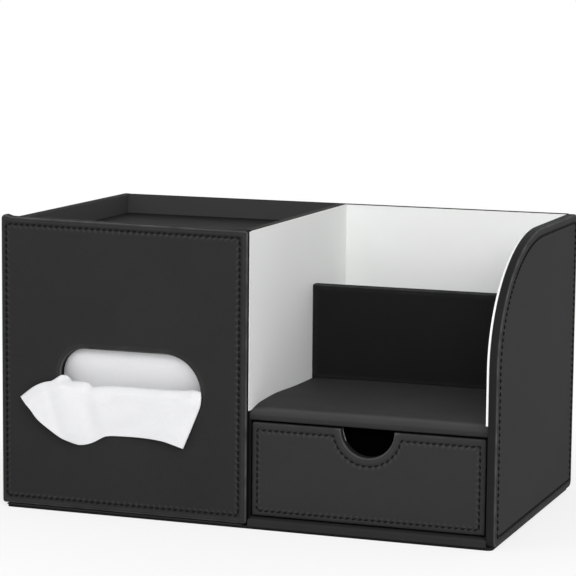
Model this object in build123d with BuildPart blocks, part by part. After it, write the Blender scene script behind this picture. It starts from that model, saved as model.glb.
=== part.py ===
from build123d import *

import os

# Desk organiser with a tissue compartment, top tray, rear pocket, padded shelf and drawer.
#
# Every wall is a board wrapped in black imitation leather.  The leather is glued over the
# show face and turned over the edges, which makes a shallow tray round the core, and a
# thin facing or a pale lining closes the other side.
#
# Millimetres.  X to the right, Y from front to back, Z up.  The origin is the middle of
# the face that rests on the desk.

# ---------------------------------------------------------------- driving dimensions
WIDTH = 280.0  # outside, left wall to right panel
DEPTH = 165.0  # front of the flap to the back of the back panel
WALL_TOP = 158.6  # top of the walls above the desk
FLAP_TOP = 159.4  # the flap stands a little proud of the walls

PAD = 1.6  # bottom sheet
COVER = 0.8  # imitation leather
FACING = 0.8  # thin black sheet on a board's hidden side
LINING = 1.2  # pale lining
CORE = 3.4  # board inside a wall
EDGE_R = 1.3  # rounding of a wrapped edge
WALL = COVER + CORE + FACING

PARTITION_X = 3.8  # lined face of the partition, and right edge of the flap
BASE_TOP = 5.8  # top of the base board
FLAP_GAP = 0.8  # between the closed flap and the walls behind it

SHELF_BOTTOM = 58.0
SHELF_TOP = 65.0
SHELF_SETBACK = 4.5  # shelf nose and drawer front, behind the front plane
DIVIDER_SETBACK = 101.0
DIVIDER_TOP = 119.0
TRAY_FLOOR_TOP = 147.5
LIP_BOTTOM = 137.0

LEFT, RIGHT = -WIDTH / 2, WIDTH / 2
FRONT, BACK = -DEPTH / 2, DEPTH / 2
INNER_LEFT, INNER_RIGHT = LEFT + WALL, RIGHT - WALL
INNER_BACK = BACK - WALL
WALL_FRONT = FRONT + WALL + FLAP_GAP
THICK_CORE = CORE + FACING  # core of a board that carries the pale lining instead
PARTITION_LEFT = PARTITION_X - LINING - THICK_CORE - COVER
PARTITION_CORE_RIGHT = PARTITION_X - LINING
BAY_RIGHT = INNER_RIGHT - LINING
LINING_TOP = WALL_TOP - 0.3  # the lining stops just below the wrapped edge
LINING_BACK = INNER_BACK + FACING - LINING

os.makedirs("parts", exist_ok=True)


# ---------------------------------------------------------------- planes and helpers
def facing_front(y):
    """Plane at depth y whose own axes are X and Z; its normal points to the front."""
    return Plane.XZ.offset(-y)


def facing_side(x):
    """Plane at x whose own axes are Y and Z; its normal points to the right."""
    return Plane.YZ.offset(x)


def panel(x0, x1, y0, y1):
    """Rectangle between two corners, in the axes of the sketch that it is drawn in."""
    with Locations(((x0 + x1) / 2, (y0 + y1) / 2)):
        Rectangle(x1 - x0, y1 - y0)


def set_in(outline, inset):
    """Drawing function for the same outline, smaller all round."""

    def draw():
        outline()
        offset(amount=-inset, kind=Kind.INTERSECTION, mode=Mode.REPLACE)

    return draw


def leather_cover(outline, show_face, inward, depth, edge_radius=EDGE_R, inner=None):
    """Leather on a board's show face, turned over its edges: a tray open to the back."""
    board_outline = inner or set_in(outline, COVER)
    with BuildPart() as cover:
        with BuildSketch(show_face):
            outline()
        extrude(amount=inward * depth)
        show = cover.faces().filter_by(lambda f: show_face.contains(f.center()))
        fillet(show.edges(), edge_radius)
        with BuildSketch(show_face.offset(inward * COVER)):
            board_outline()
        extrude(amount=inward * (depth - COVER), mode=Mode.SUBTRACT)
    return cover.part


def board_core(outline, show_face, inward, thickness, inner=None):
    """Plain board that fills the leather tray."""
    board_outline = inner or set_in(outline, COVER)
    with BuildPart() as core:
        with BuildSketch(show_face.offset(inward * COVER)):
            board_outline()
        extrude(amount=inward * thickness)
    return core.part


def sheet(outline, face, inward, thickness, inset=0.0):
    """Thin sheet glued to a board, its edge set in from the outline."""
    drawn = set_in(outline, inset) if inset else outline
    with BuildPart() as glued:
        with BuildSketch(face):
            drawn()
        extrude(amount=inward * thickness)
    return glued.part


def save(part, name):
    part.label = name
    export_step(part, f"parts/{name}.step")


# ---------------------------------------------------------------- base
PAD_INSET_SIDE = 2.0
PAD_INSET_FRONT = 1.0
PAD_CORNER_R = 3.0
FLAP_END_GAP = 0.4  # between the flap's end and the rail beside it
RAIL_LEFT = PARTITION_X + FLAP_END_GAP

with BuildPart() as base_pad:
    with BuildSketch(Plane.XY):
        RectangleRounded(WIDTH - 2 * PAD_INSET_SIDE, DEPTH - 2 * PAD_INSET_FRONT, PAD_CORNER_R)
    extrude(amount=PAD)


def base_outline():
    """The right half reaches the front as a rail; the left half leaves room for the flap."""
    panel(INNER_LEFT, INNER_RIGHT, WALL_FRONT, INNER_BACK)
    panel(RAIL_LEFT, INNER_RIGHT, FRONT, WALL_FRONT)


base_show = Plane.XY.offset(BASE_TOP)
base_cover = leather_cover(base_outline, base_show, -1, BASE_TOP - PAD)
base_core = board_core(base_outline, base_show, -1, BASE_TOP - PAD - COVER)


# ---------------------------------------------------------------- left wall
def left_wall_outline():
    panel(WALL_FRONT, BACK, PAD, WALL_TOP)


left_show = facing_side(LEFT)
left_wall_cover = leather_cover(left_wall_outline, left_show, 1, COVER + CORE)
left_wall_core = board_core(left_wall_outline, left_show, 1, CORE)


def left_wall_inside():
    panel(WALL_FRONT, INNER_BACK, PAD, LINING_TOP)


left_wall_facing = sheet(left_wall_inside, facing_side(INNER_LEFT), -1, FACING)

# ---------------------------------------------------------------- right side panel
CURVE_START = 93.0  # height at which the straight front edge starts to lean back
CURVE_DEPTH = 88.0  # how far back the curve meets the level top
PANEL_CORNER_R = 4.0


def side_panel_outline(top=WALL_TOP, front=FRONT, rear=BACK, bottom=PAD, corner=PANEL_CORNER_R):
    """Straight front edge, a quarter of an ellipse, and a level top to the back."""
    rise = top - CURVE_START
    shoulder = FRONT + CURVE_DEPTH
    turns = [(front, CURVE_START), (front, bottom), (rear, bottom), (rear, top), (shoulder, top)]
    with BuildLine() as edge:
        if corner:
            FilletPolyline(*turns, radius=corner)
        else:
            Polyline(*turns)
        EllipticalCenterArc((shoulder, CURVE_START), shoulder - front, rise, 90, arc_size=90)
    make_face(edge.edges())


def side_panel_inner():
    """The board's own outline, one thickness of leather inside the wrapped one."""
    side_panel_outline(
        WALL_TOP - COVER, FRONT + COVER, BACK - COVER, PAD + COVER, PANEL_CORNER_R - COVER
    )


right_show = facing_side(RIGHT)
right_panel_cover = leather_cover(
    side_panel_outline, right_show, -1, COVER + THICK_CORE, inner=side_panel_inner
)
right_panel_core = board_core(
    side_panel_outline, right_show, -1, THICK_CORE, inner=side_panel_inner
)

LINING_INSET = 0.3


def side_lining_outline():
    """The lining follows the curve, so that its pale edge shows all along it."""
    side_panel_outline(LINING_TOP, FRONT + LINING_INSET, LINING_BACK, SHELF_TOP, 0)


right_panel_lining = sheet(side_lining_outline, facing_side(INNER_RIGHT), -1, LINING)


# ---------------------------------------------------------------- back panel
def back_outline():
    panel(INNER_LEFT, INNER_RIGHT, PAD, WALL_TOP)


back_show = facing_front(BACK)
back_cover = leather_cover(back_outline, back_show, 1, COVER + CORE)
back_core = board_core(back_outline, back_show, 1, CORE)


def back_facing_outline():
    """Black behind the tissues, the tray and the drawer; the pocket has the pale lining."""
    panel(INNER_LEFT, INNER_RIGHT, BASE_TOP, LINING_TOP)
    with Locations(((PARTITION_CORE_RIGHT + INNER_RIGHT) / 2, (SHELF_TOP + LINING_TOP) / 2)):
        Rectangle(
            INNER_RIGHT - PARTITION_CORE_RIGHT, LINING_TOP - SHELF_TOP, mode=Mode.SUBTRACT
        )


def back_lining_outline():
    panel(PARTITION_CORE_RIGHT, INNER_RIGHT, SHELF_TOP, LINING_TOP)


back_facing = sheet(back_facing_outline, facing_front(INNER_BACK), -1, FACING)
back_lining = sheet(back_lining_outline, facing_front(LINING_BACK), -1, LINING)


# ---------------------------------------------------------------- partition
def partition_outline():
    panel(WALL_FRONT, INNER_BACK, BASE_TOP, WALL_TOP)


partition_show = facing_side(PARTITION_LEFT)
partition_cover = leather_cover(partition_outline, partition_show, 1, COVER + THICK_CORE)
partition_core = board_core(partition_outline, partition_show, 1, THICK_CORE)


def partition_lining_outline():
    panel(WALL_FRONT, LINING_BACK, SHELF_TOP, LINING_TOP)


def bay_lining_outline():
    panel(WALL_FRONT, INNER_BACK, BASE_TOP, SHELF_BOTTOM)


partition_face = facing_side(PARTITION_CORE_RIGHT)
partition_lining = sheet(partition_lining_outline, partition_face, 1, LINING)
drawer_bay_lining_left = sheet(bay_lining_outline, partition_face, 1, LINING)
drawer_bay_lining_right = sheet(bay_lining_outline, facing_side(INNER_RIGHT), -1, LINING)

# ---------------------------------------------------------------- top tray
TRAY_FLOOR = 4.4  # thickness of the tray's floor board
LIP_BACK = WALL_FRONT + WALL


def tray_floor_outline():
    panel(INNER_LEFT, PARTITION_LEFT, LIP_BACK, INNER_BACK)


tray_show = Plane.XY.offset(TRAY_FLOOR_TOP)
tray_core_t = TRAY_FLOOR - COVER - FACING
tray_floor_cover = leather_cover(tray_floor_outline, tray_show, -1, COVER + tray_core_t, 0.5)
tray_floor_core = board_core(tray_floor_outline, tray_show, -1, tray_core_t)
tray_floor_facing = sheet(
    tray_floor_outline, Plane.XY.offset(TRAY_FLOOR_TOP - TRAY_FLOOR), 1, FACING
)


def tray_lip_outline():
    panel(INNER_LEFT, PARTITION_LEFT, LIP_BOTTOM, WALL_TOP)


lip_show = facing_front(WALL_FRONT)
tray_lip_cover = leather_cover(tray_lip_outline, lip_show, -1, COVER + CORE)
tray_lip_facing = sheet(tray_lip_outline, facing_front(LIP_BACK), 1, FACING, LINING_INSET)

# ---------------------------------------------------------------- flap and its magnets
SLOT_LEFT, SLOT_RIGHT = LEFT + 34.6, LEFT + 118.0
SLOT_BOTTOM, SLOT_TOP = 48.0, 90.6
SLOT_R_LEFT, SLOT_R_RIGHT = 14.0, 20.8
FLAP_BOTTOM = 2.4
FLAP_CORNER_R = 1.6
MAGNET_R = 4.0
MAGNET_T = 2.0
MAGNET_Z = 149.0
MAGNET_SPACING = 100.0
FLAP_MIDDLE = (LEFT + PARTITION_X) / 2
magnet_places = [(FLAP_MIDDLE + side * MAGNET_SPACING / 2, MAGNET_Z) for side in (-1, 1)]


def slot_outline(mode=Mode.ADD):
    """Finger slot: tight corners to the left, wide ones to the right."""
    with BuildSketch(mode=Mode.PRIVATE) as slot:
        panel(SLOT_LEFT, SLOT_RIGHT, SLOT_BOTTOM, SLOT_TOP)
        fillet(slot.vertices().group_by(Axis.X)[0], SLOT_R_LEFT)
        fillet(slot.vertices().group_by(Axis.X)[-1], SLOT_R_RIGHT)
    add(slot.sketch, mode=mode)


def flap_outline():
    panel(LEFT, PARTITION_X, FLAP_BOTTOM, FLAP_TOP)
    fillet(vertices(), FLAP_CORNER_R)
    slot_outline(Mode.SUBTRACT)


flap_show = facing_front(FRONT)
flap_cover = leather_cover(flap_outline, flap_show, -1, COVER + CORE)
flap_lining = sheet(flap_outline, facing_front(FRONT + WALL), 1, FACING, LINING_INSET)

with BuildPart() as flap_core:
    add(board_core(flap_outline, flap_show, -1, CORE))
    with BuildSketch(facing_front(FRONT + COVER + CORE)):
        with Locations(*magnet_places):
            Circle(MAGNET_R)
    extrude(amount=MAGNET_T, mode=Mode.SUBTRACT)

with BuildPart() as flap_magnets:
    with BuildSketch(facing_front(FRONT + COVER + CORE)):
        with Locations(*magnet_places):
            Circle(MAGNET_R)
    extrude(amount=MAGNET_T)

with BuildPart() as tray_lip_core:
    add(board_core(tray_lip_outline, lip_show, -1, CORE))
    with BuildSketch(facing_front(WALL_FRONT + COVER)):
        with Locations(*magnet_places):
            Circle(MAGNET_R)
    extrude(amount=-MAGNET_T, mode=Mode.SUBTRACT)

with BuildPart() as tray_magnets:
    with BuildSketch(facing_front(WALL_FRONT + COVER)):
        with Locations(*magnet_places):
            Circle(MAGNET_R)
    extrude(amount=-MAGNET_T)

HINGE_T = 0.6
HINGE_INSET = 3.0

with BuildPart() as flap_hinge_strip:
    with BuildSketch(facing_side(LEFT + HINGE_INSET)):
        panel(FRONT, WALL_FRONT, PAD, PAD + HINGE_T)
        panel(WALL_FRONT - HINGE_T, WALL_FRONT, PAD, BASE_TOP)
    extrude(amount=PARTITION_X - LEFT - 2 * HINGE_INSET)

# ---------------------------------------------------------------- shelf
SHELF_FRONT = FRONT + SHELF_SETBACK
SHELF_FACING = 0.8
SHELF_CORE = 3.6
NOSE_HEIGHT = 64.1  # where the sloping top would meet the front
NOSE_SLOPE = 18.0  # depth of the slope from the nose to the level top
NOSE_R_TOP = 3.4
NOSE_R_BOTTOM = 1.6
NOSE_RETURN = 4.0  # leather turned under the nose
CORE_FRONT = SHELF_FRONT + NOSE_RETURN


def shelf_profile():
    """Side view of the padded shelf: level top, soft nose, flat underside."""
    with BuildLine() as side:
        Polyline(
            (INNER_BACK, SHELF_BOTTOM),
            (SHELF_FRONT, SHELF_BOTTOM),
            (SHELF_FRONT, NOSE_HEIGHT),
            (SHELF_FRONT + NOSE_SLOPE, SHELF_TOP),
            (INNER_BACK, SHELF_TOP),
            close=True,
        )
    make_face(side.edges())
    nose = vertices().filter_by(lambda v: v.X < SHELF_FRONT + 1).sort_by(Axis.Y)
    fillet(nose[-1], NOSE_R_TOP)
    lower = vertices().filter_by(lambda v: v.X < SHELF_FRONT + 1).sort_by(Axis.Y)
    fillet(lower[0], NOSE_R_BOTTOM)


def shelf_cavity():
    """Room inside the leather: open below and at the back."""
    shelf_profile()
    offset(amount=-COVER, kind=Kind.INTERSECTION, mode=Mode.REPLACE)
    panel(CORE_FRONT, INNER_BACK, SHELF_BOTTOM, SHELF_TOP - COVER - 1)
    panel(INNER_BACK - 5, INNER_BACK, SHELF_BOTTOM, SHELF_TOP - COVER)


def behind_flap():
    """Plan of the shelf's front corner that would reach behind the end of the flap."""
    panel(PARTITION_CORE_RIGHT, RAIL_LEFT, FRONT, WALL_FRONT)


shelf_side = facing_side(PARTITION_CORE_RIGHT)
SHELF_WIDTH = INNER_RIGHT - PARTITION_CORE_RIGHT
CORE_BOTTOM = SHELF_BOTTOM + SHELF_FACING
CORE_TOP = CORE_BOTTOM + SHELF_CORE

with BuildPart() as shelf_cover:
    with BuildSketch(shelf_side):
        shelf_profile()
        with BuildSketch(mode=Mode.PRIVATE) as cavity:
            shelf_cavity()
        add(cavity.sketch, mode=Mode.SUBTRACT)
    extrude(amount=SHELF_WIDTH)
    with BuildSketch(Plane.XY.offset(SHELF_BOTTOM)):
        behind_flap()
    extrude(amount=SHELF_TOP - SHELF_BOTTOM, mode=Mode.SUBTRACT)

with BuildPart() as shelf_core:
    with BuildSketch(shelf_side):
        panel(CORE_FRONT, INNER_BACK, CORE_BOTTOM, CORE_TOP)
    extrude(amount=SHELF_WIDTH)

with BuildPart() as shelf_facing:
    with BuildSketch(shelf_side):
        panel(CORE_FRONT, INNER_BACK, SHELF_BOTTOM, CORE_BOTTOM)
    extrude(amount=SHELF_WIDTH)

with BuildPart() as shelf_padding:
    with BuildSketch(shelf_side):
        shelf_cavity()
        with BuildSketch(mode=Mode.PRIVATE) as board:
            panel(CORE_FRONT, INNER_BACK + 1, SHELF_BOTTOM - 1, CORE_TOP)
        add(board.sketch, mode=Mode.SUBTRACT)
    extrude(amount=SHELF_WIDTH)
    with BuildSketch(Plane.XY.offset(SHELF_BOTTOM)):
        behind_flap()
    extrude(amount=SHELF_TOP - SHELF_BOTTOM, mode=Mode.SUBTRACT)

# ---------------------------------------------------------------- divider
DIVIDER_FRONT = FRONT + DIVIDER_SETBACK


def divider_outline():
    panel(PARTITION_X, BAY_RIGHT, SHELF_TOP, DIVIDER_TOP)


divider_show = facing_front(DIVIDER_FRONT)
divider_cover = leather_cover(divider_outline, divider_show, -1, COVER + CORE)
divider_core = board_core(divider_outline, divider_show, -1, CORE)
divider_facing = sheet(
    divider_outline, facing_front(DIVIDER_FRONT + WALL), 1, FACING, LINING_INSET
)

# ---------------------------------------------------------------- drawer
DRAWER_SIDE_GAP = 0.9
DRAWER_LEFT, DRAWER_RIGHT = PARTITION_X + DRAWER_SIDE_GAP, BAY_RIGHT - DRAWER_SIDE_GAP
DRAWER_BOTTOM, DRAWER_TOP = 6.6, 57.0
NOTCH_R = 14.6
DRAWER_CORNER_R = 1.0
BOX_BOARD = 4.0
BOX_INSET = 0.3  # box sides, in from the front board's ends
BOX_BOTTOM, BOX_TOP = 6.1, 48.0
BOX_BACK = 71.5
FLOOR_T = 3.0
FELT_T = 1.2
DRAWER_FRONT = SHELF_FRONT
BOX_FRONT = DRAWER_FRONT + COVER + CORE + LINING


def drawer_front_outline():
    """Front board with the half-round finger notch in the middle of its top edge."""
    panel(DRAWER_LEFT, DRAWER_RIGHT, DRAWER_BOTTOM, DRAWER_TOP)
    fillet(vertices(), DRAWER_CORNER_R)
    with Locations(((DRAWER_LEFT + DRAWER_RIGHT) / 2, DRAWER_TOP)):
        Circle(NOTCH_R, mode=Mode.SUBTRACT)


drawer_show = facing_front(DRAWER_FRONT)
drawer_front_cover = leather_cover(drawer_front_outline, drawer_show, -1, COVER + CORE, 1.0)
drawer_front_core = board_core(drawer_front_outline, drawer_show, -1, CORE)
drawer_front_lining = sheet(
    drawer_front_outline, facing_front(BOX_FRONT), 1, LINING, LINING_INSET
)


def drawer_wall(x0, x1, y0, y1):
    """Upright board of the drawer box with its upper edge eased."""
    with BuildPart() as wall:
        with BuildSketch(Plane.XY.offset(BOX_BOTTOM)):
            panel(x0, x1, y0, y1)
        extrude(amount=BOX_TOP - BOX_BOTTOM)
        top = wall.faces().sort_by(Axis.Z)[-1].edges()
        along = Axis.Y if y1 - y0 > x1 - x0 else Axis.X
        fillet(top.filter_by(along), EDGE_R)
    return wall.part


BOX_LEFT, BOX_RIGHT = DRAWER_LEFT + BOX_INSET, DRAWER_RIGHT - BOX_INSET
drawer_side_left = drawer_wall(BOX_LEFT, BOX_LEFT + BOX_BOARD, BOX_FRONT, BOX_BACK)
drawer_side_right = drawer_wall(BOX_RIGHT - BOX_BOARD, BOX_RIGHT, BOX_FRONT, BOX_BACK)
drawer_back = drawer_wall(
    BOX_LEFT + BOX_BOARD, BOX_RIGHT - BOX_BOARD, BOX_BACK - BOX_BOARD, BOX_BACK
)


def drawer_floor_outline():
    panel(BOX_LEFT + BOX_BOARD, BOX_RIGHT - BOX_BOARD, BOX_FRONT, BOX_BACK - BOX_BOARD)


FLOOR_BOTTOM = DRAWER_BOTTOM
drawer_floor = sheet(drawer_floor_outline, Plane.XY.offset(FLOOR_BOTTOM), 1, FLOOR_T)
drawer_felt = sheet(drawer_floor_outline, Plane.XY.offset(FLOOR_BOTTOM + FLOOR_T), 1, FELT_T)

# ---------------------------------------------------------------- tissues
STACK_WIDTH = 126.0
STACK_HEIGHT = 112.0
STACK_DEPTH = 105.0
STACK_FRONT = FRONT + WALL + 5.0
STACK_CORNER_R = 7.0
STACK_CROWN = 1.5  # how far the middle of the front swells
STACK_TOP_BEVEL = 2.5
STACK_MIDDLE = (INNER_LEFT + PARTITION_LEFT) / 2

with BuildPart() as tissue_stack:
    with BuildSketch(Plane(origin=(STACK_MIDDLE, STACK_FRONT, BASE_TOP))):
        with BuildLine():
            half = STACK_WIDTH / 2
            Line((-half, STACK_CROWN), (-half, STACK_DEPTH))
            Line((-half, STACK_DEPTH), (half, STACK_DEPTH))
            Line((half, STACK_DEPTH), (half, STACK_CROWN))
            ThreePointArc((half, STACK_CROWN), (0, 0), (-half, STACK_CROWN))
        make_face()
        fillet(vertices(), STACK_CORNER_R)
    extrude(amount=STACK_HEIGHT)
    chamfer(tissue_stack.faces().sort_by(Axis.Z)[-1].edges(), STACK_TOP_BEVEL)

# The pulled tissue: a tongue through the slot and an apron hanging over the front.
SHEET_T = 1.6
APRON_GAP = 0.4
TONGUE_Z = 66.0
TONGUE_BACK = STACK_FRONT - 0.6
apron_outline = [
    (LEFT + 12.5, 62.5),
    (LEFT + 35.5, 74.5),
    (LEFT + 45.0, 72.0),
    (LEFT + 118.5, 70.5),
    (LEFT + 119.5, 64.0),
    (LEFT + 109.0, 41.0),
    (LEFT + 62.0, 42.0),
    (LEFT + 48.5, 38.0),
    (LEFT + 35.0, 42.0),
]

with BuildPart() as tissue_sheet:
    with BuildSketch(facing_front(FRONT - APRON_GAP)):
        with BuildLine():
            Polyline(*apron_outline, close=True)
        make_face()
    extrude(amount=SHEET_T)
    with BuildSketch(Plane.XY.offset(TONGUE_Z)):
        panel(SLOT_LEFT + 4, SLOT_RIGHT - 4, FRONT - APRON_GAP - SHEET_T, TONGUE_BACK)
    extrude(amount=SHEET_T)

# ---------------------------------------------------------------- write every piece
pieces = {
    "base_pad": base_pad.part,
    "base_core": base_core,
    "base_cover": base_cover,
    "left_wall_core": left_wall_core,
    "left_wall_cover": left_wall_cover,
    "left_wall_facing": left_wall_facing,
    "right_panel_core": right_panel_core,
    "right_panel_cover": right_panel_cover,
    "right_panel_lining": right_panel_lining,
    "back_core": back_core,
    "back_cover": back_cover,
    "back_facing": back_facing,
    "back_lining": back_lining,
    "partition_core": partition_core,
    "partition_cover": partition_cover,
    "partition_lining": partition_lining,
    "drawer_bay_lining_left": drawer_bay_lining_left,
    "drawer_bay_lining_right": drawer_bay_lining_right,
    "tray_floor_core": tray_floor_core,
    "tray_floor_cover": tray_floor_cover,
    "tray_floor_facing": tray_floor_facing,
    "tray_lip_core": tray_lip_core.part,
    "tray_lip_cover": tray_lip_cover,
    "tray_lip_facing": tray_lip_facing,
    "tray_magnets": tray_magnets.part,
    "shelf_core": shelf_core.part,
    "shelf_padding": shelf_padding.part,
    "shelf_cover": shelf_cover.part,
    "shelf_facing": shelf_facing.part,
    "divider_core": divider_core,
    "divider_cover": divider_cover,
    "divider_facing": divider_facing,
    "flap_core": flap_core.part,
    "flap_cover": flap_cover,
    "flap_lining": flap_lining,
    "flap_magnets": flap_magnets.part,
    "flap_hinge_strip": flap_hinge_strip.part,
    "drawer_front_core": drawer_front_core,
    "drawer_front_cover": drawer_front_cover,
    "drawer_front_lining": drawer_front_lining,
    "drawer_side_left": drawer_side_left,
    "drawer_side_right": drawer_side_right,
    "drawer_back": drawer_back,
    "drawer_floor": drawer_floor,
    "drawer_felt": drawer_felt,
    "tissue_stack": tissue_stack.part,
    "tissue_sheet": tissue_sheet.part,
}
for name, piece in pieces.items():
    save(piece, name)
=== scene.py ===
import math

import bmesh
import bpy
from mathutils import Matrix, Vector, geometry, noise


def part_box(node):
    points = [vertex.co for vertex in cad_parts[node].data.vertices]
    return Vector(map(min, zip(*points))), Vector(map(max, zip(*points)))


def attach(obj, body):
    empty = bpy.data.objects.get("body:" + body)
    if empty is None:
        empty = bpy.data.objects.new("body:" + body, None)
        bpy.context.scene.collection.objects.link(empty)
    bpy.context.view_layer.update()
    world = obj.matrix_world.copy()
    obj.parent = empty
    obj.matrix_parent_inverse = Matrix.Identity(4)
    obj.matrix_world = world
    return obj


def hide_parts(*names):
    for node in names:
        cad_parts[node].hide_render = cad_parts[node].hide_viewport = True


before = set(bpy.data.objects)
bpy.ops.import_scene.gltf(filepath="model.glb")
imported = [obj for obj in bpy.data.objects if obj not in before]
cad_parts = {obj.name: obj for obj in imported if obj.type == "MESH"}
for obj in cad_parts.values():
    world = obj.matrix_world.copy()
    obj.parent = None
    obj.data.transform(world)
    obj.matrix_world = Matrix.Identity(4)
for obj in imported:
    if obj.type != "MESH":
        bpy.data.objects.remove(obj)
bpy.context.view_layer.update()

MM = 0.001  # lengths below are millimetres unless they come from the frame


# ---------------------------------------------------------------- bottom sheet
# A thin black non-woven sheet is glued under the base and keeps the box from scratching
# the desk. It is cut a little smaller than the walls, so that it shows as a dark line.
SHEET_FIBRE = 0.35  # fibre clumps of the non-woven sheet
SHEET_BLACK = "#141415"
SHEET_WORN = "#232324"


def hex_linear(code):
    """An sRGB hex colour as the linear colour that a shader's socket takes."""
    channels = [int(code[i:i + 2], 16) / 255 for i in (1, 3, 5)]
    linear = [c / 12.92 if c <= 0.04045 else ((c + 0.055) / 1.055) ** 2.4 for c in channels]
    return (*linear, 1.0)


def add_node(tree, kind, settings=None, inputs=None):
    """Adds a node, sets its properties, and fills or links its inputs."""
    node = tree.nodes.new(kind)
    for key, value in (settings or {}).items():
        setattr(node, key, value)
    for key, value in (inputs or {}).items():
        if isinstance(value, bpy.types.NodeSocket):
            tree.links.new(value, node.inputs[key])
        else:
            node.inputs[key].default_value = value
    return node


def maths(tree, operation, *values):
    """Result of a math node for numbers or sockets."""
    node = add_node(tree, "ShaderNodeMath", {"operation": operation}, dict(enumerate(values)))
    return node.outputs[0]


def mix_colours(tree, share, first, second):
    """Result of a mix of two colours, each of them a socket or an sRGB hex colour."""
    first, second = [hex_linear(c) if isinstance(c, str) else c for c in (first, second)]
    node = add_node(tree, "ShaderNodeMix", {"data_type": "RGBA"}, {
        "Factor": share, 6: first, 7: second})  # 6 and 7 are its colour sockets A and B
    return node.outputs[2]


def finish_material(name, paint):
    """A new material whose nodes paint() adds; paint() returns the shader's output."""
    material = bpy.data.materials.new(name)
    material.use_nodes = True
    tree = material.node_tree
    tree.nodes.clear()
    surface = paint(tree)
    add_node(tree, "ShaderNodeOutputMaterial", inputs={"Surface": surface})
    return material


def give(material, *nodes):
    """Puts a material on CAD nodes, which keep their own shape."""
    for node in nodes:
        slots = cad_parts[node].data.materials
        slots.clear()
        slots.append(material)


def paint_fibres(fibre, dark, light, rough):
    """Short matted fibres: a fine noise in colour and relief, with almost no gloss."""
    def paint(tree):
        place = add_node(tree, "ShaderNodeTexCoord").outputs["Object"]
        clumps = add_node(tree, "ShaderNodeTexNoise", inputs={
            "Vector": place, "Scale": 1 / (fibre * MM), "Detail": 4.0, "Roughness": 0.65})
        shade = mix_colours(tree, clumps.outputs["Fac"], dark, light)
        relief = add_node(tree, "ShaderNodeBump", inputs={
            "Height": clumps.outputs["Fac"], "Strength": 0.5, "Distance": 0.2 * MM})
        shader = add_node(tree, "ShaderNodeBsdfPrincipled", inputs={
            "Base Color": shade, "Normal": relief.outputs["Normal"],
            "Roughness": rough, "IOR": 1.45, "Specular IOR Level": 0.15})
        return shader.outputs["BSDF"]
    return paint


# Spun-bonded polypropylene felt: dull, slightly mottled black.
nonwoven = finish_material("nonwoven_polypropylene", paint_fibres(
    SHEET_FIBRE, SHEET_BLACK, SHEET_WORN, 0.95))
give(nonwoven, "base_pad")


# ---------------------------------------------------------------- boards and facings
# The boards inside the leather are 3.4 mm fibreboard, stained black, because an edge may
# show in a gap. Thin smooth black sheets close the inside of the box.
BOARD_FIBRE = 1.2
board = finish_material("black_stained_fibreboard", paint_fibres(
    BOARD_FIBRE, "#101011", "#19191a", 0.9))
give(board, *[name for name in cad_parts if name.endswith("_core")])

# Smooth calendered vinyl paper, and a matt black one behind the flap and beside the drawer,
# whose black is painted shade of the gaps there.
FACING_GRAIN = 0.5
facing = finish_material("calendered_vinyl_paper", paint_fibres(
    FACING_GRAIN, "#3b3b3c", "#424243", 0.6))
give(facing, *[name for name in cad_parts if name.endswith("_facing")])
shade_paper = finish_material("matt_black_paper_painted_shade", paint_fibres(
    FACING_GRAIN, "#131314", "#191919", 0.9))
give(shade_paper, "flap_lining", "shelf_facing", "drawer_bay_lining_left",
     "drawer_bay_lining_right")


# ---------------------------------------------------------------- base board
# The base is wrapped in black imitation leather. On the drawer's side it reaches the front
# plane as a rail; on the tissues' side it stops short, to leave room for the front flap.
GRAIN = 0.75  # embossed pebbles of the leather
GRAIN_WARP = 2.0  # how far the pebbles are pulled out of shape, in their own sizes
WARP_LENGTH = 2.5  # and over what length
PORES = 3  # pores to a pebble
PORE_SHARE = 0.35  # height of the pores, where a pebble's is one
PATCH = 45.0  # broad, barely visible unevenness of the dyed coat
LEATHER_BLACK = "#292929"
LEATHER_PALER = "#2f2f2f"
# painted highlight and wear on the rounded edges
LEATHER_HIGHLIGHT_AND_WEAR = "#5c5c5c"
TURNED_BLACK = "#0e0e0f"  # edge paint on the turned-in sides, and painted shade where they face a gap


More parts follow.
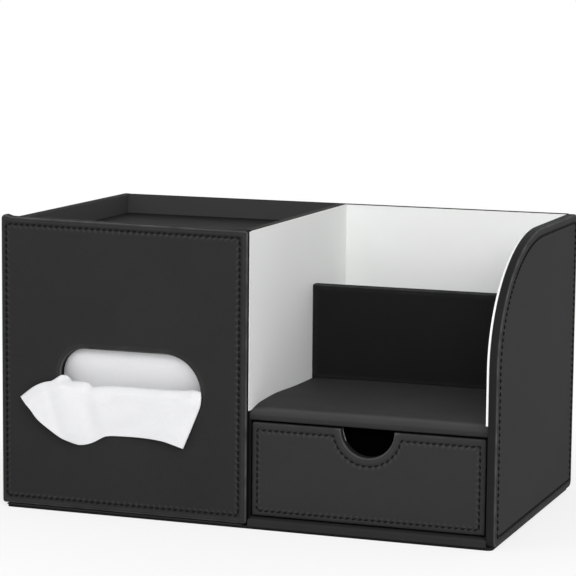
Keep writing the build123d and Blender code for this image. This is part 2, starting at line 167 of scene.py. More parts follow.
def paint_leather(dark, light, edge_highlight_and_wear, grain, relief_depth, rough_low, rough_high, gloss):
    """Embossed pebbles with fine creases. Edges are painted paler, as highlight and
    wearing; turned-in sides darker, as edge paint and painted shade.
    """
    def paint(tree):
        place = add_node(tree, "ShaderNodeTexCoord").outputs["Object"]
        pull = add_node(tree, "ShaderNodeTexNoise", inputs={
            "Vector": place, "Scale": 1 / WARP_LENGTH / (grain * MM), "Detail": 2.0})
        centred = add_node(tree, "ShaderNodeVectorMath", {"operation": "SUBTRACT"}, {
            0: pull.outputs["Color"], 1: (0.5, 0.5, 0.5)})
        scaled = add_node(tree, "ShaderNodeVectorMath", {"operation": "SCALE"}, {
            0: centred.outputs[0], "Scale": GRAIN_WARP * grain * MM})
        warped = add_node(tree, "ShaderNodeVectorMath", {"operation": "ADD"}, {
            0: place, 1: scaled.outputs[0]})
        pebbles = add_node(tree, "ShaderNodeTexVoronoi", {"feature": "DISTANCE_TO_EDGE"}, {
            "Vector": warped.outputs[0], "Scale": 1 / (grain * MM)})
        domes = add_node(tree, "ShaderNodeMapRange", {"interpolation_type": "SMOOTHSTEP"}, {
            "Value": pebbles.outputs["Distance"], "From Max": 0.28})
        pores = add_node(tree, "ShaderNodeTexNoise", inputs={
            "Vector": place, "Scale": PORES / (grain * MM), "Detail": 3.0,
            "Roughness": 0.7})
        height = maths(tree, "MULTIPLY_ADD", pores.outputs["Fac"], PORE_SHARE,
                       domes.outputs["Result"])
        relief = add_node(tree, "ShaderNodeBump", inputs={
            "Height": height, "Strength": 0.6, "Distance": relief_depth * MM})
        patches = add_node(tree, "ShaderNodeTexNoise", inputs={
            "Vector": place, "Scale": 1 / (PATCH * MM), "Detail": 3.0, "Roughness": 0.6})
        coat = mix_colours(tree, patches.outputs["Fac"], dark, light)
        # painted highlight and wear on the edges, then the turned-in sides darkened by edge paint
        # and painted shade
        wear_and_highlight = add_node(tree, "ShaderNodeAttribute", {"attribute_name": "wear_and_highlight"})
        worn_and_lit = mix_colours(tree, wear_and_highlight.outputs["Fac"], coat, edge_highlight_and_wear)
        side = add_node(tree, "ShaderNodeAttribute", {"attribute_name": "turned_side"})
        colour = mix_colours(tree, side.outputs["Fac"], worn_and_lit, TURNED_BLACK)
        rough = add_node(tree, "ShaderNodeMapRange", inputs={
            "Value": pores.outputs["Fac"], "From Min": 0.3, "From Max": 0.7,
            "To Min": rough_low, "To Max": rough_high})
        shader = add_node(tree, "ShaderNodeBsdfPrincipled", inputs={
            "Base Color": colour, "Normal": relief.outputs["Normal"],
            "Roughness": rough.outputs["Result"], "IOR": 1.46, "Specular IOR Level": gloss})
        return shader.outputs["BSDF"]
    return paint


# Black polyurethane leather: embossed fine pebble grain, satin, its edges painted paler as
# highlight and as wear.
black_leather = finish_material("black_polyurethane_leather", paint_leather(
    LEATHER_BLACK, LEATHER_PALER, LEATHER_HIGHLIGHT_AND_WEAR, GRAIN, 0.05, 0.56, 0.68, 0.05))
give(black_leather, "base_cover", "flap_hinge_strip")
# The same leather painted paler on the drawer and the shelf, as painted light.
lit_leather = finish_material("black_polyurethane_leather_painted_light", paint_leather(
    "#2f2f2f", "#353535", LEATHER_HIGHLIGHT_AND_WEAR, GRAIN, 0.05, 0.56, 0.68, 0.05))
# The same leather, smoother and painted a deeper black as shade, inside the tray and on the
# divider.
shaded_smooth_leather = finish_material("smooth_black_polyurethane_leather_painted_shade", paint_leather(
    "#171717", "#1c1c1c", "#484848", GRAIN, 0.03, 0.56, 0.68, 0.05))
give(shaded_smooth_leather, "tray_floor_cover")


# ---------------------------------------------------------------- left wall
# Every upright wall is a board in a leather cover. The leather is pulled over the rounded
# edge and glued down on the other side, so it is never quite flat, and its rounded edges
# are painted paler, as highlight and as wear.
COVER = 0.8  # thickness of the leather
EDGE_R = 1.3  # rounding of a wrapped edge
EDGE_TURNS = (0, 18, 36, 54, 72, 90)  # degrees at which a ring follows the rounding
DARK_SIDE_TURN = 30  # degrees over which the side's darkening, edge paint and painted shade, fades
CUT_INSET, CUT_RISE = 0.05, 0.1  # bevel at the end of the turned-in leather
EDGE_HIGHLIGHT_AND_WEAR = 0.9  # painted highlight and wear on the rounding's outermost part
HIGHLIGHT_WEAR_PATCH = 6.0  # length of the stretches with more or less painted highlight and wear
HIGHLIGHT_WEAR_MEAN, HIGHLIGHT_WEAR_SWING, HIGHLIGHT_WEAR_LEAST = 0.6, 0.5, 0.15  # share of the painted highlight and wear on them
RIM, RIM_SINK, RIM_HIGHLIGHT_AND_WEAR = 0.7, 0.02, 0.15  # inner end of the rounded rim, its level, and its painted highlight and wear
PLAIN_RINGS = ((2.2, 0.6), (4.5, 1.0))  # past an unsewn rim, with their share of the sink
SEAM_INSET = 4.0  # distance of a seam from the edge that the rings are drawn for
SEAM_DEPTH = 0.20  # how far the thread pulls the leather down
SEAM_HOLE = 0.30  # the needle holes go this much deeper
SEAM_HIGHLIGHT = 0.24  # painted highlight on the leather pulled up beside a hole
SEAM_HALF = 1.1  # half the width of the dent along a seam
SEAM_SINK = 0.04  # level of the leather outside the dent
SEAM_BEYOND = 1.4  # from the dent to where the flat begins
SEAM_RINGS = (-1, -0.6, -0.3, 0, 0.3, 0.6, 1)  # rings across the dent, in half widths
THREAD_DEPTH = 0.6  # share of the dent's depth at which the thread lies
STITCH_PITCH = 3.5
FACE_SINK = 0.14  # the flat of a panel lies this far below its crowned edge
WAVE = 0.10  # height of the broad waves in the leather
WAVE_LENGTH = 34.0
RIPPLE = 0.05  # height of the short waves, mostly near the edges
RIPPLE_LENGTH = 9.0
WAVED = 0.7  # waves and ripples reach this share of the rounding down
FINE_STEP = 0.9  # spacing of the points along an edge with a seam
PLAIN_STEP = 2.5
FILL_STEP = 5.0  # spacing of the points on the flat
FILL_ROWS, FILL_MARGIN = 0.87, 0.6  # distance of its rows and from its border, in spacings
LEAST_R = 0.15  # of a corner that an inset has made sharp


def straight(start, end, number):
    """Evenly spaced points, about so many, from start up to and not with end."""
    count = max(1, round(number))
    return [(start[0] + (end[0] - start[0]) * i / count,
             start[1] + (end[1] - start[1]) * i / count) for i in range(count)]


def bend(centre, radius_u, radius_v, first, last, count):
    """Points on an arc of an ellipse between two angles in degrees, the last left out."""
    angles = [math.radians(first + (last - first) * i / count) for i in range(count)]
    return [(centre[0] + radius_u * math.cos(a), centre[1] + radius_v * math.sin(a))
            for a in angles]


def rectangle(low, high, radii, counts, insets=(0, 0, 0, 0)):
    """Rounded rectangle, anticlockwise from its lower left. insets: left, bottom, right, top.

    radii are those of the corners lower left, lower right, upper right, upper left.
    counts are the numbers of points along a horizontal side, an upright side and a corner.
    """
    u0, v0 = low[0] + insets[0], low[1] + insets[1]
    u1, v1 = high[0] - insets[2], high[1] - insets[3]
    shrink = min(insets)
    r = [max(radius - shrink, LEAST_R) for radius in radii]
    across, up, corner = counts
    return (straight((u0 + r[0], v0), (u1 - r[1], v0), across)
            + bend((u1 - r[1], v0 + r[1]), r[1], r[1], -90, 0, corner)
            + straight((u1, v0 + r[1]), (u1, v1 - r[2]), up)
            + bend((u1 - r[2], v1 - r[2]), r[2], r[2], 0, 90, corner)
            + straight((u1 - r[2], v1), (u0 + r[3], v1), across)
            + bend((u0 + r[3], v1 - r[3]), r[3], r[3], 90, 180, corner)
            + straight((u0, v1 - r[3]), (u0, v0 + r[0]), up)
            + bend((u0 + r[0], v0 + r[0]), r[0], r[0], 180, 270, corner))


def at_seam(inset, seam):
    """Inset on a side whose own seam lies seam in, for rings drawn for SEAM_INSET."""
    if inset <= EDGE_R:
        return inset
    if inset < SEAM_INSET:
        return EDGE_R + (inset - EDGE_R) * (seam - EDGE_R) / (SEAM_INSET - EDGE_R)
    return seam + inset - SEAM_INSET


def cover_rings(depth, sewn):
    """(inset, height, painted highlight and wearing, pull, darkened side) of each ring,
    from the turned edge to the face.
    """
    rings = [(COVER, -COVER, 0, 0, 1), (COVER, -depth, 0, 0, 1),
             (CUT_INSET, -depth, 0, 0, 1), (0, -depth + CUT_RISE, 0, 0, 1),
             (0, -(depth + EDGE_R) / 2, 0, 0, 1)]
    for turn in EDGE_TURNS:
        a = math.radians(turn)
        rings.append((EDGE_R * (1 - math.cos(a)), -EDGE_R * (1 - math.sin(a)),
                      math.sin(2 * a) ** 2 * EDGE_HIGHLIGHT_AND_WEAR if turn else 0, 0,
                      max(0, 1 - turn / DARK_SIDE_TURN)))
    rings.append((EDGE_R + RIM, -RIM_SINK, RIM_HIGHLIGHT_AND_WEAR, 0, 0))
    if sewn:
        for along in SEAM_RINGS:
            dent = math.cos(along * math.pi / 2) ** 2
            level = -SEAM_SINK - (FACE_SINK - SEAM_SINK) * (along + 1) / 2
            hole_highlight = SEAM_HIGHLIGHT if along in (0.6, 1) else 0
            rings.append((SEAM_INSET + along * SEAM_HALF, level, hole_highlight, dent, 0))
        rings.append((SEAM_INSET + SEAM_HALF + SEAM_BEYOND, -FACE_SINK, 0, 0, 0))
    else:
        rings += [(EDGE_R + past, -FACE_SINK * share, 0, 0, 0) for past, share in PLAIN_RINGS]
    return rings


def arc_lengths(points):
    """Distance along a closed line to each of its points, and the whole length."""
    total, out = 0.0, []
    for here, after in zip(points, points[1:] + points[:1]):
        out.append(total)
        total += math.dist(here, after)
    return out, total


def unevenness(point):
    """Height of the leather's waves at a point of the object, never above zero."""
    broad = noise.noise(Vector(point) / (WAVE_LENGTH * MM))
    short = noise.noise(Vector(point) / (RIPPLE_LENGTH * MM) + Vector((7, 3, 5)))
    return WAVE * (broad - 1) / 2 + RIPPLE * (short - 1) / 2


def between(point, loops):
    """Whether a point lies inside the outer line and outside the holes."""
    u, v = point
    crossings = 0
    for line in loops:
        for (u0, v0), (u1, v1) in zip(line, line[1:] + line[:1]):
            if (v0 > v) != (v1 > v) and u < u0 + (v - v0) / (v1 - v0) * (u1 - u0):
                crossings += 1
    return crossings % 2 == 1


def fill_flat(loops, spacing):
    """Triangles between closed lines of (u, v) points; returns added points and faces."""
    points, edges = [], []
    for line in loops:
        first = len(points)
        points += [Vector(p) for p in line]
        count = len(line)
        edges += [(first + i, first + (i + 1) % count) for i in range(count)]
    borders = len(points)
    if spacing:
        low = [min(p[k] for p in points) for k in (0, 1)]
        high = [max(p[k] for p in points) for k in (0, 1)]
        row, v = 0, low[1] + spacing / 2
        while v < high[1]:
            u = low[0] + spacing * (0.5 + 0.5 * (row % 2))
            while u < high[0]:
                near = min((u - p[0]) ** 2 + (v - p[1]) ** 2 for p in points[:borders])
                if near > (FILL_MARGIN * spacing) ** 2 and between((u, v), loops):
                    points.append(Vector((u, v)))
                u += spacing
            v += spacing * FILL_ROWS
            row += 1
    out, _, faces, origins, _, _ = geometry.delaunay_2d_cdt(points, edges, [], 2, 1e-5)
    source = [found[0] for found in origins]
    middles = [sum((out[i] for i in face), Vector((0, 0))) / len(face) for face in faces]
    faces = [face for face, middle in zip(faces, middles) if between(middle, loops)]
    used = sorted({source[i] for face in faces for i in face if source[i] >= borders})
    number = {index: borders + n for n, index in enumerate(used)}
    renumbered = [[number.get(source[i], source[i]) for i in face] for face in faces]
    return [tuple(points[i]) for i in used], renumbered


def add_object(name, data):
    """A new object in the scene that shows a mesh, lamp or camera."""
    added = bpy.data.objects.new(name, data)
    bpy.context.scene.collection.objects.link(added)
    return added


def applied(carrier, name):
    """A plain mesh object with the carrier's modifiers applied; it takes its place."""
    bpy.context.view_layer.update()
    evaluated = carrier.evaluated_get(bpy.context.evaluated_depsgraph_get())
    mesh = bpy.data.meshes.new_from_object(evaluated)
    bpy.data.objects.remove(carrier)
    mesh.name = name
    return add_object(name, mesh)


def new_piece(name, points, faces, material, smooth=True):
    """A mesh object in place, at the origin, with its faces turned outwards."""
    mesh = bpy.data.meshes.new(name)
    mesh.from_pydata(points, [], faces)
    tidy = bmesh.new()
    tidy.from_mesh(mesh)
    bmesh.ops.recalc_face_normals(tidy, faces=tidy.faces)
    tidy.to_mesh(mesh)
    tidy.free()
    mesh.materials.append(material)
    if smooth:
        mesh.shade_smooth()
    else:
        mesh.shade_flat()
    return add_object(name, mesh)


def wrapped_cover(name, place, loops, depth, sewn=None, material=black_leather,
                  edge_paint_and_shade=0.5, edge_highlight_and_wear=lambda u, v: 1.0):
    """Leather cover of a board: rounded rim, waves, and a dent along a seam.

    loops are functions from an inset to the points of a closed line, the outer one
    anticlockwise and holes clockwise. place puts (u, v, height) in the object. sewn says
    for each loop whether a seam follows it. The share of edge paint and painted shade
    darkens the turned-in sides, and the last argument gives the share of painted highlight
    and wearing at a place. Returns the piece and the seams' points.
    """
    sewn = sewn or [False] * len(loops)
    points, faces, wear_and_highlight, sides, seams = [], [], [], [], []
    backs, fronts = [], []
    for loop, has_seam in zip(loops, sewn):
        rings = cover_rings(depth, has_seam)
        count = len(loop(0))
        wave_number = 0
        if has_seam:
            reach, length = arc_lengths(loop(SEAM_INSET))
            wave_number = 2 * math.pi * round(length / STITCH_PITCH) / length
        first = len(points)
        for inset, height, pale_share, pull, side in rings:
            for i, (u, v) in enumerate(loop(inset)):
                wave = unevenness(place(u, v, 0)) if inset > COVER or height > -depth else 0
                level = height + (wave if height > -EDGE_R * WAVED else 0)
                hole = (1 + math.cos(wave_number * reach[i])) / 2 if has_seam else 0
                level -= pull * (SEAM_DEPTH + SEAM_HOLE * hole ** 3)  # narrow needle holes
                points.append(place(u, v, level))
                patch = noise.noise(Vector(points[-1]) / (HIGHLIGHT_WEAR_PATCH * MM))
                worn_and_lit = max(HIGHLIGHT_WEAR_LEAST, min(1, patch * HIGHLIGHT_WEAR_SWING + HIGHLIGHT_WEAR_MEAN))
                # painted highlight beside the needle holes past the seam; on the rim, painted
                # highlight and wear in random stretches
                wear_and_highlight.append(pale_share * hole ** 2 if inset > SEAM_INSET
                           else pale_share * edge_highlight_and_wear(u, v) * worn_and_lit)
                # the turned-in sides darken: edge paint, and painted shade where they face a gap
                sides.append(side * edge_paint_and_shade)
        for k in range(len(rings) - 1):
            for i in range(count):
                j = (i + 1) % count
                a, b = first + k * count, first + (k + 1) * count
                faces.append((a + i, a + j, b + j, b + i))
        backs.append((first, loop(rings[0][0])))
        fronts.append((first + (len(rings) - 1) * count, loop(rings[-1][0])))
        if has_seam:
            seams.append([place(u, v, -SEAM_DEPTH * THREAD_DEPTH) for u, v in loop(SEAM_INSET)])
    for border, height, spacing in ((backs, -COVER, 0), (fronts, -FACE_SINK, FILL_STEP)):
        index = [start + i for start, line in border for i in range(len(line))]
        extra, triangles = fill_flat([line for _, line in border], spacing)
        start = len(points)
        for u, v in extra:
            points.append(place(u, v, height + unevenness(place(u, v, 0))))
            wear_and_highlight.append(0)
            sides.append(0)
        index += [start + i for i in range(len(extra))]
        faces += [tuple(index[i] for i in triangle) for triangle in triangles]
    piece = new_piece(name, points, faces, material)
    for key, values in (("wear_and_highlight", wear_and_highlight), ("turned_side", sides)):
        piece.data.attributes.new(key, "FLOAT", "POINT").data.foreach_set("value", values)
    return piece, seams


def counts_for(low, high, step, corner=5):
    """Numbers of points along a rectangle's sides and corners for a spacing."""
    return (high[0] - low[0]) / step, (high[1] - low[1]) / step, corner


def plain_loop(low, high, radius=0.4, step=PLAIN_STEP):
    """Loop function of a rectangle without a seam."""
    counts = counts_for(low, high, step)
    return lambda inset: rectangle(low, high, [radius] * 4, counts, [inset] * 4)


def facing_left(x):
    """Place function of a panel whose show face looks to -X; u runs to the front.

    A place function puts (u, v, height over the face) in the object, in metres.
    """
    return lambda u, v, h: (x * MM - h * MM, -u * MM, v * MM)


def facing_right(x):
    """The same for a show face that looks to +X; u runs to the back."""
    return lambda u, v, h: (x * MM + h * MM, u * MM, v * MM)


def facing_front(y):
    """The same for a show face that looks to the front; u runs to +X."""
    return lambda u, v, h: (u * MM, y * MM - h * MM, v * MM)


def facing_back(y):
    """The same for a show face that looks to the back; u runs to -X."""
    return lambda u, v, h: (-u * MM, y * MM + h * MM, v * MM)


def corners(node):
    """A CAD node's lowest and highest corner in millimetres."""
    return [Vector(corner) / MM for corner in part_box(node)]


low, high = corners("left_wall_cover")
left_wall, _ = wrapped_cover(
    "left_wall_leather", facing_left(low.x),
    [plain_loop((-high.y, low.z), (-low.y, high.z))], high.x - low.x)
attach(left_wall, "carcass")
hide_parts("left_wall_cover")


# ---------------------------------------------------------------- back panel
# The back is wrapped like the other walls and closes the box between the two sides, to which
# it is glued. Its upper part is the back of the tray and of the rear pocket.
low, high = corners("back_cover")
back, _ = wrapped_cover(
    "back_leather", facing_back(high.y),
    [plain_loop((-high.x, low.z), (-low.x, high.z))], high.y - low.y)
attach(back, "carcass")
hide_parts("back_cover")


# ---------------------------------------------------------------- partition
# The wall between the tissues and the rear pocket. Its leather faces the tissues, and its
# wrapped top edge shows beside the pale lining.
low, high = corners("partition_cover")
partition, _ = wrapped_cover(
    "partition_leather", facing_left(low.x),
    [plain_loop((-high.y, low.z), (-low.y, high.z))], high.x - low.x)
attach(partition, "carcass")
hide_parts("partition_cover")


# ---------------------------------------------------------------- pale lining
# The rear pocket is lined with pale grey imitation leather, cut flush with the edges, so
# that its cut edge shows as a thin light line along the curved panel. The drawer's front
# board is backed with it too.
LINING_PALE = "#f0f1f0"
LINING_PALER = "#f3f4f3"
lining = finish_material("pale_grey_polyurethane_lining", paint_leather(
    LINING_PALE, LINING_PALER, "#f0f0f0", 0.6, 0.02, 0.55, 0.65, 0.25))
give(lining, "right_panel_lining", "back_lining", "drawer_front_lining")

# On the partition the lining runs on past the board's front edge, as a thin lip that closes
# the corner beside the end of the flap.
LIP_FRONT = 2.4  # behind the flap's face
LIP_THICKNESS = 0.4
LINING_TUCK = 1.8  # the sheet goes down beside the shelf's padding
low, high = corners("partition_lining")
lip = corners("flap_cover")[0].y + LIP_FRONT
lining_foot = low.z - LINING_TUCK
plan = [(low.x, low.y), (high.x - LIP_THICKNESS, low.y), (high.x - LIP_THICKNESS, lip),
        (high.x, lip), (high.x, high.y), (low.x, high.y)]
points = [(x * MM, y * MM, z * MM) for z in (lining_foot, high.z) for x, y in plan]
sides = len(plan)
faces = [(i, (i + 1) % sides, sides + (i + 1) % sides, sides + i) for i in range(sides)]
faces += [tuple(range(sides)), tuple(range(sides, 2 * sides))]
partition_lining = new_piece("partition_lining_sheet", points, faces, lining, smooth=False)
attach(partition_lining, "carcass")
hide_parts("partition_lining")


# ---------------------------------------------------------------- right side panel
# The side panel rises straight at the front and then leans back in a quarter of an ellipse
# to the level top. Its leather is sewn all round, about four and a half millimetres in.
PANEL_SEAM = 4.6
PANEL_CORNER_R = 4.0
CURVE_START = 93.0  # height where the front edge starts to lean back
CURVE_DEPTH = 88.0  # depth at which the curve meets the level top
QUARTER_SHARE = 0.79  # length of a quarter of an ellipse over the sum of its radii
CORNER_POINTS = 6


def side_panel_loop(low, high):
    """Loop function of the curved panel, in u = depth and v = height."""
    shoulder = low.y + CURVE_DEPTH
    rise = high.z - CURVE_START
    curve_points = round((CURVE_DEPTH + rise) * QUARTER_SHARE / FINE_STEP)

    def loop(inset):
        d = at_seam(inset, PANEL_SEAM)
        r = max(PANEL_CORNER_R - d, 0.2)
        front, rear, bottom, top = low.y + d, high.y - d, low.z + d, high.z - d
        width, height = high.y - low.y, high.z - low.z
        return (straight((front + r, bottom), (rear - r, bottom), width / FINE_STEP)
                + bend((rear - r, bottom + r), r, r, -90, 0, CORNER_POINTS)
                + straight((rear, bottom + r), (rear, top - r), height / FINE_STEP)
                + bend((rear - r, top - r), r, r, 0, 90, CORNER_POINTS)
                + straight((rear - r, top), (shoulder, top), (width - CURVE_DEPTH) / FINE_STEP)
                + bend((shoulder, CURVE_START), CURVE_DEPTH - d, rise - d, 90, 180,
                       curve_points)
                + straight((front, CURVE_START), (front, bottom + r), CURVE_START / FINE_STEP)
                + bend((front + r, bottom + r), r, r, 180, 270, CORNER_POINTS))
    return loop


low, high = corners("right_panel_cover")
right_panel, right_seams = wrapped_cover(
    "right_panel_leather", facing_right(high.x), [side_panel_loop(low, high)],
    high.x - low.x, [True])
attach(right_panel, "carcass")
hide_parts("right_panel_cover")


# ---------------------------------------------------------------- stitching
# Black polyester lock stitches, about seven to the inch. Each lies at a slight slant in the
# dent that it pulls into the leather, and dives into the needle holes at its two ends.
STITCH_LENGTH = 2.2
THREAD_R = 0.47
STITCH_RISE = 0.22  # the middle of a stitch over the dent
STITCH_DIVE = 0.35  # its ends under it
STITCH_SLANT = 14.0  # degrees
STITCH_WOBBLE = 0.07  # radians that a stitch may turn from the slant
STITCH_SIDES = 6
STITCH_BENDS = 5
# the thread's colours: black painted darker in the valleys as shade, paler on the ridges as sheen
THREAD_BLACK = "#060606"
THREAD_SHEEN = "#111112"


def paint_thread(tree):
    """Twisted thread: fine slanting ridges, painted darker in the valleys as shade and paler
    on the ridges as sheen; silky.
    """
    place = add_node(tree, "ShaderNodeTexCoord").outputs["Object"]
    plies = add_node(tree, "ShaderNodeTexWave", {"wave_type": "BANDS",
                                                 "bands_direction": "DIAGONAL"}, {
        "Vector": place, "Scale": 1 / (1.1 * MM), "Distortion": 1.5, "Detail": 1.0})
    colour = mix_colours(tree, plies.outputs["Fac"], THREAD_BLACK, THREAD_SHEEN)
    relief = add_node(tree, "ShaderNodeBump", inputs={
        "Height": plies.outputs["Fac"], "Strength": 0.5, "Distance": 0.08 * MM})
    shader = add_node(tree, "ShaderNodeBsdfPrincipled", inputs={
        "Base Color": colour, "Normal": relief.outputs["Normal"],
        "Roughness": 0.6, "IOR": 1.5, "Specular IOR Level": 0.12})
    return shader.outputs["BSDF"]


# Bonded polyester sewing thread, three plies twisted, black.
thread = finish_material("bonded_polyester_thread", paint_thread)


def stitch_tree():
    """Node tree that lays evenly spaced stitches along a closed line of edges."""
    tree = bpy.data.node_groups.new("lock_stitches", "GeometryNodeTree")
    socket = tree.interface.new_socket
    socket("Geometry", in_out="INPUT", socket_type="NodeSocketGeometry")
    for name, default in (("Stitch length", 0.0025), ("Thread radius", 0.0004),
                          ("Rise", 0.0003), ("Dive", 0.0003), ("Slant", 0.0)):
        socket(name, in_out="INPUT", socket_type="NodeSocketFloat").default_value = default
    socket("Count", in_out="INPUT", socket_type="NodeSocketInt")
    socket("Face normal", in_out="INPUT", socket_type="NodeSocketVector")
    socket("Seed", in_out="INPUT", socket_type="NodeSocketInt")
    socket("Thread", in_out="INPUT", socket_type="NodeSocketMaterial")
    socket("Geometry", in_out="OUTPUT", socket_type="NodeSocketGeometry")
    given = add_node(tree, "NodeGroupInput").outputs

    line = add_node(tree, "GeometryNodeMeshToCurve", inputs={0: given["Geometry"]})
    holes = add_node(tree, "GeometryNodeResampleCurve", {"mode": "COUNT"}, {
        "Curve": line.outputs[0], "Count": given["Count"]})
    along = add_node(tree, "GeometryNodeInputTangent")
    lie = add_node(tree, "FunctionNodeAxesToRotation", {
        "primary_axis": "Z", "secondary_axis": "X"}, {
        0: given["Face normal"], 1: along.outputs[0]})
    wobble = add_node(tree, "FunctionNodeRandomValue", {"data_type": "FLOAT"}, {
        2: -STITCH_WOBBLE, 3: STITCH_WOBBLE, "Seed": given["Seed"]})
    turn = add_node(tree, "FunctionNodeAxisAngleToRotation", inputs={
        "Axis": (0, 0, 1), "Angle": maths(tree, "ADD", given["Slant"], wobble.outputs[1])})
    laid = add_node(tree, "FunctionNodeRotateRotation", {"rotation_space": "LOCAL"}, {
        "Rotation": lie.outputs[0], "Rotate By": turn.outputs[0]})

    half = maths(tree, "MULTIPLY", given["Stitch length"], 0.5)
    back_half = maths(tree, "MULTIPLY", half, -1.0)
    below = maths(tree, "MULTIPLY", given["Dive"], -1.0)
    above = maths(tree, "MULTIPLY_ADD", given["Rise"], 2.0, given["Dive"])
    start = add_node(tree, "ShaderNodeCombineXYZ", inputs={"X": back_half, "Z": below})
    top = add_node(tree, "ShaderNodeCombineXYZ", inputs={"Z": above})
    end = add_node(tree, "ShaderNodeCombineXYZ", inputs={"X": half, "Z": below})
    arch = add_node(tree, "GeometryNodeCurveQuadraticBezier", inputs={
        "Resolution": STITCH_BENDS, "Start": start.outputs[0], "Middle": top.outputs[0],
        "End": end.outputs[0]})
    share = add_node(tree, "GeometryNodeSplineParameter")
    swell = maths(tree, "SINE", maths(tree, "MULTIPLY", share.outputs["Factor"], math.pi))
    taper = add_node(tree, "ShaderNodeMapRange", inputs={
        "Value": swell, "From Max": 0.7, "To Min": 0.55, "To Max": 1.0})
    ring = add_node(tree, "GeometryNodeCurvePrimitiveCircle", {"mode": "RADIUS"}, {
        "Resolution": STITCH_SIDES, "Radius": given["Thread radius"]})
    strand = add_node(tree, "GeometryNodeCurveToMesh", inputs={
        "Curve": arch.outputs[0], "Profile Curve": ring.outputs[0],
        "Scale": taper.outputs["Result"], "Fill Caps": True})
    placed = add_node(tree, "GeometryNodeInstanceOnPoints", inputs={
        "Points": holes.outputs[0], "Instance": strand.outputs[0],
        "Rotation": laid.outputs[0]})
    real = add_node(tree, "GeometryNodeRealizeInstances", inputs={0: placed.outputs[0]})
    rounded = add_node(tree, "GeometryNodeSetShadeSmooth", inputs={0: real.outputs[0]})
    dyed = add_node(tree, "GeometryNodeSetMaterial", inputs={
        "Geometry": rounded.outputs[0], "Material": given["Thread"]})
    add_node(tree, "NodeGroupOutput", inputs={0: dyed.outputs[0]})
    return tree


lock_stitches = stitch_tree()


def slide_along(points, shift):
    """The same closed line, started again a distance further along."""
    reach, length = arc_lengths(points)
    after = next(i for i, distance in enumerate(reach) if distance > shift)
    share = (shift - reach[after - 1]) / (reach[after] - reach[after - 1])
    start = Vector(points[after - 1]).lerp(Vector(points[after]), share)
    return [tuple(start)] + points[after:] + points[:after]


def sew(name, seam, normal, body, seed, thread_radius=THREAD_R):
    """Stitches along a seam's closed line of points, as a plain mesh on a body."""
    _, length = arc_lengths(seam)
    stitches = round(length / (STITCH_PITCH * MM))
    shift = 0.5 / stitches * length  # a stitch lies between two holes
    line = slide_along(seam, shift)
    path = bpy.data.meshes.new(name + "_path")
    count = len(line)
    path.from_pydata(line, [(i, (i + 1) % count) for i in range(count)], [])
    carrier = add_object(name + "_path", path)
    modifier = carrier.modifiers.new("stitches", "NODES")
    modifier.node_group = lock_stitches
    values = {"Stitch length": STITCH_LENGTH * MM, "Thread radius": thread_radius * MM,
              "Rise": STITCH_RISE * MM, "Dive": STITCH_DIVE * MM,
              "Slant": math.radians(STITCH_SLANT), "Count": stitches, "Face normal": normal,
              "Seed": seed, "Thread": thread}
    for item in lock_stitches.interface.items_tree:
        if item.in_out == "INPUT" and item.name in values:
            modifier[item.identifier] = values[item.name]
    piece = applied(carrier, name)
    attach(piece, body)
    return piece


sew("right_panel_stitches", right_seams[0], (1, 0, 0), "carcass", 3)


# ---------------------------------------------------------------- top tray
# A shallow tray over the tissues: a wrapped floor board, and a lip board behind the top of
# the front flap. Two magnets in the lip hold the flap shut.
low, high = corners("tray_lip_cover")
tray_lip, _ = wrapped_cover(
    "tray_lip_leather", facing_front(low.y),
    [plain_loop((low.x, low.z), (high.x, high.z))], high.y - low.y)
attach(tray_lip, "carcass")
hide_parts("tray_lip_cover")


def paint_plating(tree):
    """Nickel plating: bright, with fine turning marks and a little haze."""
    place = add_node(tree, "ShaderNodeTexCoord").outputs["Object"]
    marks = add_node(tree, "ShaderNodeTexNoise", inputs={
        "Vector": place, "Scale": 1 / (0.3 * MM), "Detail": 3.0})
    rough = add_node(tree, "ShaderNodeMapRange", inputs={
        "Value": marks.outputs["Fac"], "To Min": 0.18, "To Max": 0.38})
    shader = add_node(tree, "ShaderNodeBsdfPrincipled", inputs={
        "Base Color": hex_linear("#b9b4aa"), "Metallic": 1.0,
        "Roughness": rough.outputs["Result"]})
    return shader.outputs["BSDF"]


# Nickel-plated neodymium discs.
plating = finish_material("nickel_plating", paint_plating)
give(plating, "tray_magnets", "flap_magnets")


# ---------------------------------------------------------------- divider
# The wall in front of the rear pocket is a board wrapped in the smoother leather, painted
# darker as shade. It is glued between the partition and the side panel, and its top
# corners are rounded.
DIVIDER_CORNER_R = 1.2
low, high = corners("divider_cover")
divider, _ = wrapped_cover(
    "divider_leather", facing_front(low.y),
    [plain_loop((low.x, low.z), (high.x, high.z), DIVIDER_CORNER_R)], high.y - low.y,
    material=shaded_smooth_leather)
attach(divider, "carcass")
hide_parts("divider_cover")


# ---------------------------------------------------------------- padded shelf
# Thin foam lies under the leather of the shelf. It swells a little in the middle, is drawn
# down along the walls, and rolls over the front edge as a soft nose.
FOAM_CELL = 0.8

# Open-cell polyurethane foam, dark grey, hidden under the leather.
foam = finish_material("polyurethane_foam", paint_fibres(FOAM_CELL, "#2b2b2c", "#3a3a3b", 0.95))
give(foam, "shelf_padding")

